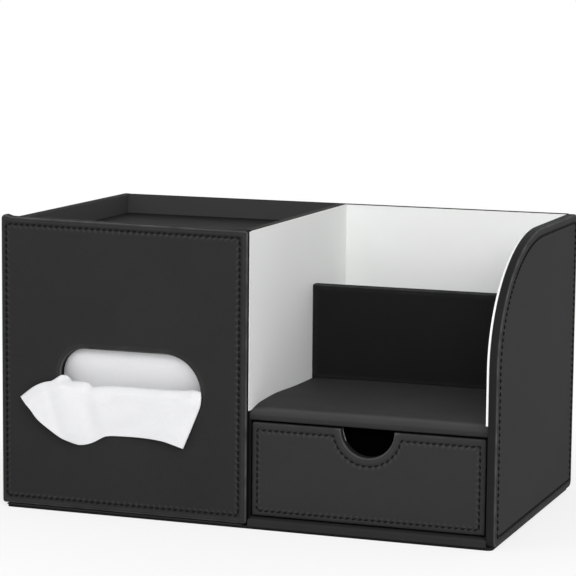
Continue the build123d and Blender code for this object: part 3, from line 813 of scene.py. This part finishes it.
SHELF_SWELL = 0.9  # height of the middle over the edges
SHELF_WAVES = ((38.0, 0.28), (11.0, 0.07))  # length and height of its unevenness
SHELF_UNDER = 4.0  # leather turned under the nose
TURNED_EDGE = 0.9  # thickness of its end there
SKIN_DEPTH = 2.0  # how deep the modelled padding is behind the nose
NOSE_R_TOP, NOSE_R_BOTTOM = 3.4, 1.6
NOSE_SLOPE = 18.0  # depth of the slope behind the nose
NOSE_DROP = 0.9  # how much lower the slope is at the nose
NOSE_HIGHLIGHT_AND_WEAR, NOSE_HIGHLIGHT_DEPTH, NOSE_HIGHLIGHT_HALF = 0.4, 2.2, 3.0  # painted highlight and wear on the nose, its place and half width
FLAP_END = 3.4  # the nose stops beside the end of the flap
BEHIND_FLAP, WALL_GAP = 1.3, 0.6  # this far back it widens, to this gap from the board
WIDENING = 1.2  # depth that the step takes
SWELL_DEPTH = 14.0  # depth over which the swell begins
TOP_FROM = 3.0  # the swell is only on leather that lies this far over the underside
NOSE_TALL = 4.0  # and the nose is painted paler, as highlight and wear, only this far down
CORNER_DROOP = 0.9  # along the partition the padding falls off at the front
DROOP_DEEP, DROOP_WIDE = 9.0, 7.0
WALL_RISE, RISE_DEPTH = 1.1, 38.0  # and is pushed up further back
RISE_DEEP, RISE_WIDE = 22.0, 30.0
UPPER_FROM = 2.7  # only what lies this far over the shelf's underside moves
SHELF_COLUMNS, SHELF_ROWS = 60, 64


def wall_lift(x, y, z, front, bottom):
    """How far the padding is pushed up or falls off beside the partition."""
    upper = min(1, max(0, (z - bottom - UPPER_FROM) / NOSE_R_TOP))
    fall = CORNER_DROOP * math.exp(-((y - front) / DROOP_DEEP) ** 2
                                   - ((x - FLAP_END) / DROOP_WIDE) ** 2)
    rise = WALL_RISE * math.exp(-((y - front - RISE_DEPTH) / RISE_DEEP) ** 2
                                - ((x - FLAP_END) / RISE_WIDE) ** 2)
    return (rise - fall) * upper


def shelf_section(front, back, bottom, top):
    """Side view of the padded leather, from its turned-in edge round the nose to the back."""
    start = (front + SHELF_UNDER, bottom + TURNED_EDGE)
    line = [start, (front + SHELF_UNDER, bottom)]
    line += bend((front + NOSE_R_BOTTOM, bottom + NOSE_R_BOTTOM), NOSE_R_BOTTOM, NOSE_R_BOTTOM,
                 270, 180, 6)
    crown = top - NOSE_DROP
    line += bend((front + NOSE_R_TOP, crown - NOSE_R_TOP), NOSE_R_TOP, NOSE_R_TOP, 180, 90, 12)
    for i in range(SHELF_ROWS + 1):
        y = front + NOSE_R_TOP + (back - front - NOSE_R_TOP) * i / SHELF_ROWS
        rise = min(1, (y - front - NOSE_R_TOP) / (NOSE_SLOPE - NOSE_R_TOP))
        line.append((y, crown + NOSE_DROP * rise * (2 - rise)))
    return line + [(back, top - SKIN_DEPTH), (front + SHELF_UNDER, top - SKIN_DEPTH)]


low, high = corners("shelf_cover")
flap_back = low.y + BEHIND_FLAP
wall = low.x + WALL_GAP
section = shelf_section(low.y, high.y, low.z, high.z)
points, wear_and_highlight = [], []
for column in range(SHELF_COLUMNS + 1):
    across = column / SHELF_COLUMNS
    across = 0.5 - 0.5 * math.cos(math.pi * across)  # finer towards the walls
    for n, (y, z) in enumerate(section):
        left = FLAP_END - (FLAP_END - wall) * min(1, max(0, (y - flap_back) / WIDENING))
        x = left + (high.x - left) * across
        share = (4 * across * (1 - across)) ** 0.45
        inland = min(1, max(0, (y - low.y) / SWELL_DEPTH)) ** 0.7
        place = Vector((x * MM, y * MM, z * MM))
        lift = 0
        if 1 < n < len(section) - 2:
            wave = sum(noise.noise(place / (length * MM)) * height
                       for length, height in SHELF_WAVES)
            if z > low.z + TOP_FROM:
                lift = (SHELF_SWELL * inland + wave) * share
            lift += wall_lift(x, y, z, low.y, low.z)
        points.append((place.x, place.y, place.z + lift * MM))
        # painted highlight and wear along the nose
        near_nose = max(0, 1 - abs(y - low.y - NOSE_HIGHLIGHT_DEPTH) / NOSE_HIGHLIGHT_HALF)
        wear_and_highlight.append(NOSE_HIGHLIGHT_AND_WEAR * near_nose if z > high.z - NOSE_TALL else 0)
size = len(section)
faces = [(c * size + i, (c + 1) * size + i, (c + 1) * size + (i + 1) % size,
          c * size + (i + 1) % size) for c in range(SHELF_COLUMNS) for i in range(size)]
for end in (0, SHELF_COLUMNS * size):
    _, triangles = fill_flat([section], 0)
    faces += [tuple(end + i for i in triangle) for triangle in triangles]
# the shelf's leather is painted paler, as light
padded_shelf = new_piece("padded_shelf", points, faces, lit_leather)
padded_shelf.data.attributes.new("wear_and_highlight", "FLOAT", "POINT").data.foreach_set("value", wear_and_highlight)
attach(padded_shelf, "carcass")
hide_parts("shelf_cover", "shelf_padding")


# ---------------------------------------------------------------- drawer box
# The drawer's sides, back and floor are thin boards covered with black leatherette paper,
# and a flocked black felt lies on the floor.
paper = finish_material("black_leatherette_paper", paint_leather(
    "#2a2a2b", "#303031", "#343435", 0.9, 0.03, 0.55, 0.7, 0.25))
give(paper, "drawer_side_left", "drawer_side_right", "drawer_back", "drawer_floor")
felt = finish_material("flocked_felt", paint_fibres(0.25, "#222223", "#2e2e2f", 1.0))
give(felt, "drawer_felt")


# ---------------------------------------------------------------- drawer front
# The front board hides the box's ends. A half-round notch in its top edge takes a finger,
# and the seam goes round the board and follows the notch.
NOTCH_R = 14.6
DRAWER_SEAMS = (3.1, 2.9, 3.0, 4.1)  # left, bottom, right, top
NOTCH_SEAM = 4.4
NOTCH_HIGHLIGHT_AND_WEAR_REACH, BOARD_HIGHLIGHT_AND_WEAR = 3.0, 0.3  # the notch's edge gets full painted highlight and wear, the others keep this share
FLANGE = 1.3  # low in the notch the leather runs on over the lining's pale edge, a dark flange as painted shade
PALE_SHOWS = 7.5  # height over which that edge shows
DRAWER_CORNER_R = 1.0
DRAWER_THREAD_R = 0.38


def drawer_loop(low, high):
    """Loop function of the notched board, anticlockwise, in u = x and v = height."""
    middle = (low.x + high.x) / 2
    wide, tall = high.x - low.x, high.z - low.z
    flat = (wide / 2 - NOTCH_R) / FINE_STEP
    arc_points = round(math.pi * NOTCH_R / FINE_STEP)

    def loop(inset):
        left, bottom, right, top = [at_seam(inset, seam) for seam in DRAWER_SEAMS]
        u0, u1 = low.x + left, high.x - right
        v0, v1 = low.z + bottom, high.z - top
        r = max(DRAWER_CORNER_R - inset, LEAST_R)
        notch = NOTCH_R + at_seam(inset, NOTCH_SEAM)
        dip = math.degrees(math.asin(top / notch))
        reach = notch * math.cos(math.radians(dip))
        return (straight((u0 + r, v0), (u1 - r, v0), wide / FINE_STEP)
                + bend((u1 - r, v0 + r), r, r, -90, 0, 4)
                + straight((u1, v0 + r), (u1, v1 - r), tall / FINE_STEP)
                + bend((u1 - r, v1 - r), r, r, 0, 90, 4)
                + straight((u1 - r, v1), (middle + reach, v1), flat)
                + bend((middle, high.z), notch, notch, -dip, -180 + dip, arc_points)
                + straight((middle - reach, v1), (u0 + r, v1), flat)
                + bend((u0 + r, v1 - r), r, r, 90, 180, 4)
                + straight((u0, v1 - r), (u0, v0 + r), tall / FINE_STEP)
                + bend((u0 + r, v0 + r), r, r, 180, 270, 4))
    return loop


low, high = corners("drawer_front_cover")
notch_middle = ((low.x + high.x) / 2, high.z)


def drawer_place(u, v, h):
    """Place on the drawer's front, with the leather drawn further back low in the notch,
    so that it hides the lining's pale edge there as painted shade.
    """
    in_notch = math.dist((u, v), notch_middle) < NOTCH_R + 1
    further = FLANGE if in_notch and v < high.z - PALE_SHOWS else 0
    back = h - further if h < low.y - high.y + 0.2 else h
    return facing_front(low.y)(u, v, back)


def drawer_highlight_and_wear(u, v):
    """The notch's edge, where the finger goes, is painted palest, as highlight and wearing."""
    return 1.0 if math.dist((u, v), notch_middle) < NOTCH_R + NOTCH_HIGHLIGHT_AND_WEAR_REACH else BOARD_HIGHLIGHT_AND_WEAR


# the drawer's leather is painted paler as light, with painted highlight and wear strongest at the
# notch
drawer_front, drawer_seams = wrapped_cover(
    "drawer_front_leather", drawer_place, [drawer_loop(low, high)], high.y - low.y, [True],
    material=lit_leather, edge_highlight_and_wear=drawer_highlight_and_wear)
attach(drawer_front, "drawer")
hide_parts("drawer_front_cover")
sew("drawer_stitches", drawer_seams[0], (0, -1, 0), "drawer", 5, DRAWER_THREAD_R)


# ---------------------------------------------------------------- front flap
# The slotted front of the tissue compartment is a board of its own. It stands a little
# proud of the walls, is sewn all round, and its slot has tight corners on the left.
FLAP_SEAMS = (3.1, 4.4, 4.6, 4.0)  # left, bottom, right, top
FLAP_CORNER_R = 1.6
SLOT_LEFT, SLOT_RIGHT = -104.3, -23.2
SLOT_BOTTOM, SLOT_TOP = 48.0, 90.6
SLOT_R_LEFT, SLOT_R_RIGHT = 14.0, 20.8
SLOT_POINTS = (40, 6, 16)  # along, up and round a corner
TOP_LEFT_RISE, TOP_RIGHT_DROP = 1.2, 0.5  # the top edge is not quite level
CORNER_PUFF = 0.9  # bunched leather at the upper left corner
PUFF_PLACE, PUFF_HALF, PUFF_REACH = 2.6, 2.2, 3.0
FLAP_END_TRIM = 0.5  # gap between the flap's end and the partition's lined face


def flap_loop(low, high):
    """Loop function of the flap, whose top edge slants and puffs up at the left."""
    counts = counts_for((low.x, low.z), (high.x, high.z), FINE_STEP)
    middle, half = (low.z + high.z) / 2, (high.z - low.z) / 2

    def loop(inset):
        insets = [at_seam(inset, seam) for seam in FLAP_SEAMS]
        line = rectangle((low.x, low.z), (high.x - FLAP_END_TRIM, high.z),
                         [FLAP_CORNER_R] * 4, counts, insets)
        out = []
        for u, v in line:
            share = (u - low.x) / (high.x - low.x)
            lift = TOP_LEFT_RISE - (TOP_LEFT_RISE + TOP_RIGHT_DROP) * share
            if inset < PUFF_REACH:
                lift += CORNER_PUFF * math.exp(-((u - low.x - PUFF_PLACE) / PUFF_HALF) ** 2)
            out.append((u, v + lift * max(0, (v - middle) / half) ** 3))
        return out
    return loop


def slot_loop(inset):
    """The slot, clockwise; an inset into the board makes it larger."""
    radii = [SLOT_R_LEFT, SLOT_R_RIGHT, SLOT_R_RIGHT, SLOT_R_LEFT]
    outline = rectangle((SLOT_LEFT, SLOT_BOTTOM), (SLOT_RIGHT, SLOT_TOP), radii,
                        SLOT_POINTS, [-inset] * 4)
    return outline[::-1]


low, high = corners("flap_cover")
# Its turned-in sides are painted full black: edge paint, and painted shade of the gap beside the
# partition.
flap, flap_seams = wrapped_cover(
    "flap_leather", facing_front(low.y), [flap_loop(low, high), slot_loop],
    high.y - low.y, [True, False], edge_paint_and_shade=1.0)
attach(flap, "flap")
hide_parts("flap_cover")
sew("flap_stitches", flap_seams[0], (0, -1, 0), "flap", 9)


# ---------------------------------------------------------------- tissues
# A pack of white creped tissues, folded into each other, stands loose in the compartment
# behind the flap. Its front face swells a little into the slot.
# the crepe's low places take the darker colour, as painted shade
TISSUE_WHITE, TISSUE_SHADE = "#e9e9eb", "#e3e3e5"
CREPE = 0.7  # width of the cross ripples


def paint_tissue(tree):
    """Creped two-ply paper: very fine cross ripples, their low places painted darker as
    shade; no gloss.
    """
    place = add_node(tree, "ShaderNodeTexCoord").outputs["Object"]
    stretched = add_node(tree, "ShaderNodeMapping", inputs={
        "Vector": place, "Scale": (0.35, 1.0, 1.0)})
    crepe = add_node(tree, "ShaderNodeTexNoise", inputs={
        "Vector": stretched.outputs[0], "Scale": 1 / (CREPE * MM), "Detail": 3.0})
    relief = add_node(tree, "ShaderNodeBump", inputs={
        "Height": crepe.outputs["Fac"], "Strength": 0.35, "Distance": 0.1 * MM})
    shade = mix_colours(tree, crepe.outputs["Fac"], TISSUE_SHADE, TISSUE_WHITE)
    shader = add_node(tree, "ShaderNodeBsdfPrincipled", inputs={
        "Base Color": shade, "Normal": relief.outputs["Normal"],
        "Roughness": 0.9, "IOR": 1.4, "Specular IOR Level": 0.1})
    return shader.outputs["BSDF"]


# Creped cellulose tissue, two plies.
tissue = finish_material("creped_cellulose_tissue", paint_tissue)

LAYERS = 44  # folds that show round the pack
LAYER_PLAY = 0.5  # how unevenly the folds lie
FOLD_PLAY = 0.25  # share of it on a fold, where the gap between two folds has all of it
PACK_CORNER_R = 6.0
PACK_POINTS = (24, 20, 5)  # along, up and round a corner
PACK_SWELL = 1.4
ROUNDED, ROUND_RINGS = 1.6, 4  # rounding of the front edge, in swells, and its rings
PACK_CREASE = 0.5
BULGE = 5.0  # the folded tissues swell into the slot
BULGE_X, BULGE_HALF, BULGE_FADE = -65.0, 43.0, 3.0
BULGE_Z, BULGE_TALL = 86.0, 12.0
FRONT_STEP, BACK_STEP = 2.5, 8.0  # spacing of the points on the pack's two faces

low, high = corners("tissue_stack")
points, rings = [], []
for n in range(2 * LAYERS + 1):
    y = low.y + PACK_SWELL + (high.y - low.y - PACK_SWELL) * n / (2 * LAYERS)
    deep = LAYER_PLAY * (1.0 if n % 2 else FOLD_PLAY) * (1 + noise.noise(Vector((n * 0.7, 2, 5))))
    round_off = PACK_SWELL * ROUNDED * max(0, 1 - n / ROUND_RINGS) ** 2
    line = rectangle((low.x, low.z), (high.x, high.z), [PACK_CORNER_R] * 4, PACK_POINTS,
                     [deep * 0.5 + round_off, 0, deep * 0.5 + round_off, deep + round_off])
    for u, v in line:
        shake = noise.noise(Vector((u / 22, y / 3, v / 22))) * LAYER_PLAY * 0.5
        points.append((u * MM, (y + shake * 0.4) * MM, max(v + min(0, shake), low.z) * MM))
    rings.append(line)
count = len(rings[0])
faces = [(n * count + i, n * count + (i + 1) % count, (n + 1) * count + (i + 1) % count,
          (n + 1) * count + i) for n in range(2 * LAYERS) for i in range(count)]
middle, half = (low + high) / 2, (high - low) / 2
for n, swell, step in ((0, PACK_SWELL, FRONT_STEP), (2 * LAYERS, 0, BACK_STEP)):
    extra, triangles = fill_flat([rings[n]], step)
    start = len(points)
    flat_y = points[n * count][1]
    for u, v in extra:
        edge = (1 - ((u - middle.x) / half.x) ** 6) * (1 - ((v - middle.z) / half.z) ** 6)
        crease = noise.noise(Vector((u / 30, 1, v / 17))) * PACK_CREASE * edge
        ends = 1 / (1 + math.exp((abs(u - BULGE_X) - BULGE_HALF) / BULGE_FADE))
        bulge = BULGE * ends * math.exp(-((v - BULGE_Z) / BULGE_TALL) ** 2)
        out = (swell * (edge ** 0.5 - 0.35) + crease + bulge) if swell else 0
        points.append((u * MM, flat_y - out * MM, v * MM))
    index = [n * count + i for i in range(count)] + [start + i for i in range(len(extra))]
    faces += [tuple(index[i] for i in triangle) for triangle in triangles]
pack = new_piece("tissue_pack", points, faces, tissue)
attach(pack, "carcass")
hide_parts("tissue_stack")


# ---------------------------------------------------------------- pulled tissue
# The next tissue comes up behind the slot's lower edge, folds over it and hangs loose in
# front of the flap, with its left corner spread out over the leather. The outline's places
# are in x and height.
CREST = [(-104.6, 75.4), (-103.2, 75.0), (-102.2, 73.6), (-99.4, 72.5), (-93.5, 72.4),
         (-90.0, 71.9), (-88.4, 70.3), (-86.5, 69.9), (-77.5, 71.0), (-64, 71.3), (-46.5, 71.1),
         (-32.2, 71.6), (-27.5, 72.2), (-24.0, 71.9), (-22.7, 71.4)]
LEFT_EDGE = [(-104.6, 75.4), (-105.9, 74.4), (-109.0, 72.4), (-114.1, 71.1), (-120.1, 68.2),
             (-127.6, 62.4)]
HEM = [(-127.6, 62.4), (-125, 59.1), (-122, 56), (-117.8, 50.9), (-113, 47.2), (-104.1, 41.6),
       (-98.1, 39.5), (-95.1, 38.7), (-92.2, 38.3), (-87.4, 39.2), (-83.3, 40.9), (-78, 43.8),
       (-75.6, 44.4), (-71.5, 44.8), (-56.9, 45.0), (-45.3, 44.2), (-38.3, 42.6), (-32, 40.8)]
RIGHT_EDGE = [(-22.7, 71.4), (-21.8, 68.5), (-22.3, 64.2), (-25.1, 57), (-29.1, 47.5),
              (-32, 40.8)]
# (start, end, height, half width) of the soft folds, towards the viewer where positive
FOLDS = [((-104, 74), (-96, 44), 0.9, 8.0), ((-100, 72), (-122, 61), 0.9, 3.5),
         ((-89, 72), (-84, 46), -0.5, 4.5), ((-86, 70), (-78, 46), 0.6, 5.0),
         ((-25, 71), (-52, 47), 1.3, 4.0), ((-32, 71), (-66, 47), -0.7, 5.0),
         ((-40, 71), (-74, 52), 0.5, 5.0), ((-22, 69), (-31, 42), 0.6, 3.0),
         ((-112, 70), (-104, 44), -0.5, 3.0)]
FOLD_HALF, FOLD_ENDS = 0.55, 12  # a fold fades this far from its middle, and how fast
SHEET_COLUMNS, SHEET_DROPS = 96, 44
PLY_THICKNESS = 0.25
HANG = 2.5  # how far the hanging part stands off the flap
OUTLINE_STAND = 2.0  # the places above are those of a sheet that stands off this far
SIDE_VIEW, TOP_VIEW = 0.42, 0.20  # shift per millimetre further out, seen from the right
CLEAR = 0.35  # the least gap to the leather
LEFT_FLARE, RIGHT_FLARE, MIDDLE_FALL = 6.0, 4.0, 1.9  # how the free edge stands out
FLARE_SHARE = 0.42  # share of the width that the left flare takes
TURN_SHARE = 0.12  # share of the length in which the tissue turns down over the edge
FOLDS_FROM = 0.2  # share of the length in which the folds rise to their height
CREST_DEPTH = 0.7  # of the crest behind the flap's face
EDGE_SHARE, EDGE_STAND = 0.06, 0.45  # near its sides it lies closer, down to this share
CRUMPLES = ((13, 4, 9, 0.35), (4, 9, 3, 0.08))  # length, slice, height of a wave; its depth
# (depth behind the flap's face, drop under the crest) of the part inside the slot
INSIDE = [(5.8, -9.0), (5.3, -6.0), (4.5, -3.4), (3.6, -1.5), (2.6, -0.4), (1.6, 0.0)]
SLOT_MIDDLE = -64.0
INSIDE_NARROWS = 0.02  # per millimetre further in
INSIDE_WAVE = 0.25


def along(line, share):
    """Point at a share of a line's length, on a smooth path through its points."""
    steps = [math.dist(a, b) for a, b in zip(line, line[1:])]
    target = share * sum(steps)
    for k, step in enumerate(steps):
        if target <= step or k == len(steps) - 1:
            break
        target -= step
    t = min(1.0, target / step)
    p0, p1, p2, p3 = [Vector(line[min(max(k + j, 0), len(line) - 1)]) for j in (-1, 0, 1, 2)]
    return ((p1 * 2) + (p2 - p0) * t + (p0 * 2 - p1 * 5 + p2 * 4 - p3) * t ** 2
            + (p1 * 3 - p0 - p2 * 3 + p3) * t ** 3) / 2


def hung_point(across, down):
    """Place in x and height of a point of the hanging part, between its four edges."""
    crest, hem = along(CREST, across), along(HEM, across)
    left, right = along(LEFT_EDGE, down), along(RIGHT_EDGE, down)
    blend = crest.lerp(hem, down) + left.lerp(right, across)
    top = Vector(CREST[0]).lerp(Vector(CREST[-1]), across)
    foot = Vector(HEM[0]).lerp(Vector(HEM[-1]), across)
    return blend - top.lerp(foot, down)


def fold_height(u, v):
    """Height of the soft folds and of the fine crumpling at a place."""
    total = 0.0
    for start, end, height, width in FOLDS:
        run = Vector(end) - Vector(start)
        t = (Vector((u, v)) - Vector(start)).dot(run) / run.length_squared
        off = (Vector((u, v)) - Vector(start) - run * t).length
        fade = 1 / (1 + math.exp((abs(t - 0.5) - FOLD_HALF) * FOLD_ENDS))
        total += height * fade * math.exp(-(off / width) ** 2)
    for wide, cut, tall, depth in CRUMPLES:
        total += depth * noise.noise(Vector((u / wide, cut, v / tall)))
    return total


front = corners("flap_cover")[0].y
points = []
for column in range(SHEET_COLUMNS + 1):
    across = column / SHEET_COLUMNS
    crest = along(CREST, across)
    for back, drop in INSIDE:
        squeeze = 1 - INSIDE_NARROWS * back
        wave = INSIDE_WAVE * noise.noise(Vector((crest.x / 9, back / 4, 3)))
        points.append(((crest.x - SLOT_MIDDLE) * squeeze + SLOT_MIDDLE, front + back + wave,
                       crest.y + drop))
    for row in range(SHEET_DROPS + 1):
        down = row / SHEET_DROPS
        u, v = hung_point(across, down)
        out = min(1, down / TURN_SHARE) ** 0.6
        flare = (LEFT_FLARE * max(0, 1 - across / FLARE_SHARE) ** 0.7
                 + RIGHT_FLARE * across ** 4)
        stand = HANG + (flare - MIDDLE_FALL) * down + fold_height(u, v) * min(1, down / FOLDS_FROM)
        edge = min(1, min(across, 1 - across) / EDGE_SHARE)
        stand *= EDGE_STAND + (1 - EDGE_STAND) * edge
        stand = max(stand, CLEAR + PLY_THICKNESS)
        beyond = (stand - OUTLINE_STAND) * out
        points.append((u + beyond * SIDE_VIEW, front + CREST_DEPTH * (1 - out) - stand * out,
                       v + beyond * TOP_VIEW))
rows = len(INSIDE) + SHEET_DROPS + 1
faces = [(c * rows + r, (c + 1) * rows + r, (c + 1) * rows + r + 1, c * rows + r + 1)
         for c in range(SHEET_COLUMNS) for r in range(rows - 1)]
flat_sheet = new_piece("flat_sheet", [(x * MM, y * MM, z * MM) for x, y, z in points], faces,
                       tissue)
ply = flat_sheet.modifiers.new("ply", "SOLIDIFY")
ply.thickness, ply.offset = PLY_THICKNESS * MM, 0.0
pulled = applied(flat_sheet, "pulled_tissue")
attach(pulled, "flap")
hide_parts("tissue_sheet")


# ---------------------------------------------------------------- floor, light, camera
# A plain pale floor and soft studio light. The camera stands to the right of the box and
# looks slightly down, as fitted to its corners; the floor reaches past the horizon.
FLOOR_SIZE = 200.0  # metres
FLOOR_COLOUR = "#fafafa"
SHADOW_NEAR, SHADOW_FAR = 0.14, 0.34  # metres from the middle of the box
WHITE_NEAR = 0.75  # share of plain white under the box's shadow


def seen_ray(tree):
    """One for the camera's rays and for what metal and gloss reflect, otherwise zero."""
    ray = add_node(tree, "ShaderNodeLightPath")
    outer = maths(tree, "MAXIMUM", ray.outputs["Is Camera Ray"], ray.outputs["Is Glossy Ray"])
    return maths(tree, "MAXIMUM", outer, ray.outputs["Is Transmission Ray"])


def paint_floor(tree):
    """Matt white floor that fades into the white backdrop away from the box's shadow."""
    place = add_node(tree, "ShaderNodeTexCoord").outputs["Object"]
    away = add_node(tree, "ShaderNodeVectorMath", {"operation": "LENGTH"}, {0: place})
    fade = add_node(tree, "ShaderNodeMapRange", {"interpolation_type": "SMOOTHSTEP"}, {
        "Value": away.outputs["Value"], "From Min": SHADOW_NEAR, "From Max": SHADOW_FAR,
        "To Min": WHITE_NEAR, "To Max": 1.0})
    share = maths(tree, "MULTIPLY", fade.outputs["Result"], seen_ray(tree))
    matt = add_node(tree, "ShaderNodeBsdfPrincipled", inputs={
        "Base Color": hex_linear(FLOOR_COLOUR), "Roughness": 1.0, "Specular IOR Level": 0.0})
    white = add_node(tree, "ShaderNodeEmission", inputs={"Color": (1, 1, 1, 1), "Strength": 1.0})
    mixed = add_node(tree, "ShaderNodeMixShader", inputs={
        0: share, 1: matt.outputs["BSDF"], 2: white.outputs["Emission"]})
    return mixed.outputs[0]


half_floor = FLOOR_SIZE / 2
floor = new_piece(
    "studio_floor", [(-half_floor, -half_floor, 0), (half_floor, -half_floor, 0),
                     (half_floor, half_floor, 0), (-half_floor, half_floor, 0)],
    [(0, 1, 2, 3)], finish_material("studio_floor", paint_floor), smooth=False)

AMBIENT = 0.46  # strength of the sky's light on the box
world = bpy.data.worlds.new("studio")
world.use_nodes = True
world.node_tree.nodes.clear()
level = add_node(world.node_tree, "ShaderNodeMapRange", inputs={
    "Value": seen_ray(world.node_tree), "To Min": AMBIENT, "To Max": 1.0})
sky = add_node(world.node_tree, "ShaderNodeBackground", inputs={
    "Color": (1, 1, 1, 1), "Strength": level.outputs["Result"]})
add_node(world.node_tree, "ShaderNodeOutputWorld", inputs={"Surface": sky.outputs[0]})
bpy.context.scene.world = world

BOX_MIDDLE = (0, 0, 0.08)


def softbox(name, position, size, watts):
    """A square area lamp that points at the middle of the box."""
    lamp = bpy.data.lights.new(name, "AREA")
    lamp.shape = "SQUARE"
    lamp.size = size
    lamp.energy = watts
    holder = add_object(name, lamp)
    holder.location = position
    towards_box = Vector(BOX_MIDDLE) - Vector(position)
    holder.rotation_euler = towards_box.to_track_quat("-Z", "Y").to_euler()


softbox("key_softbox", (1.1, -1.25, 1.2), 1.2, 13.8)
softbox("front_softbox", (0.35, -1.5, 0.75), 0.9, 7.4)
softbox("fill_softbox", (-0.9, -1.1, 1.5), 1.0, 4)

CAMERA_PLACE = (464.5, -1289.4, 303.2)  # millimetres
CAMERA_YAW, CAMERA_PITCH, CAMERA_ROLL = 19.970, 7.671, 0.539  # degrees
FOCAL_PIXELS = 2489.1
PHOTO_WIDTH = 576.0
camera = bpy.data.cameras.new("camera")
camera.sensor_width = 36.0
camera.lens = FOCAL_PIXELS / PHOTO_WIDTH * camera.sensor_width
camera.clip_end = 1000.0
holder = add_object("camera", camera)
yaw, pitch, roll = [math.radians(a) for a in (CAMERA_YAW, CAMERA_PITCH, CAMERA_ROLL)]
ahead = Vector((-math.sin(yaw) * math.cos(pitch), math.cos(yaw) * math.cos(pitch),
                -math.sin(pitch)))
right = ahead.cross(Vector((0, 0, 1))).normalized()
up = right.cross(ahead)
rolled_right = math.cos(roll) * right + math.sin(roll) * up
rolled_up = math.cos(roll) * up - math.sin(roll) * right
holder.matrix_world = Matrix([
    [rolled_right[k], rolled_up[k], -ahead[k], CAMERA_PLACE[k] * MM] for k in range(3)
] + [[0, 0, 0, 1]])
bpy.context.scene.camera = holder
bpy.context.scene.view_settings.view_transform = "Standard"
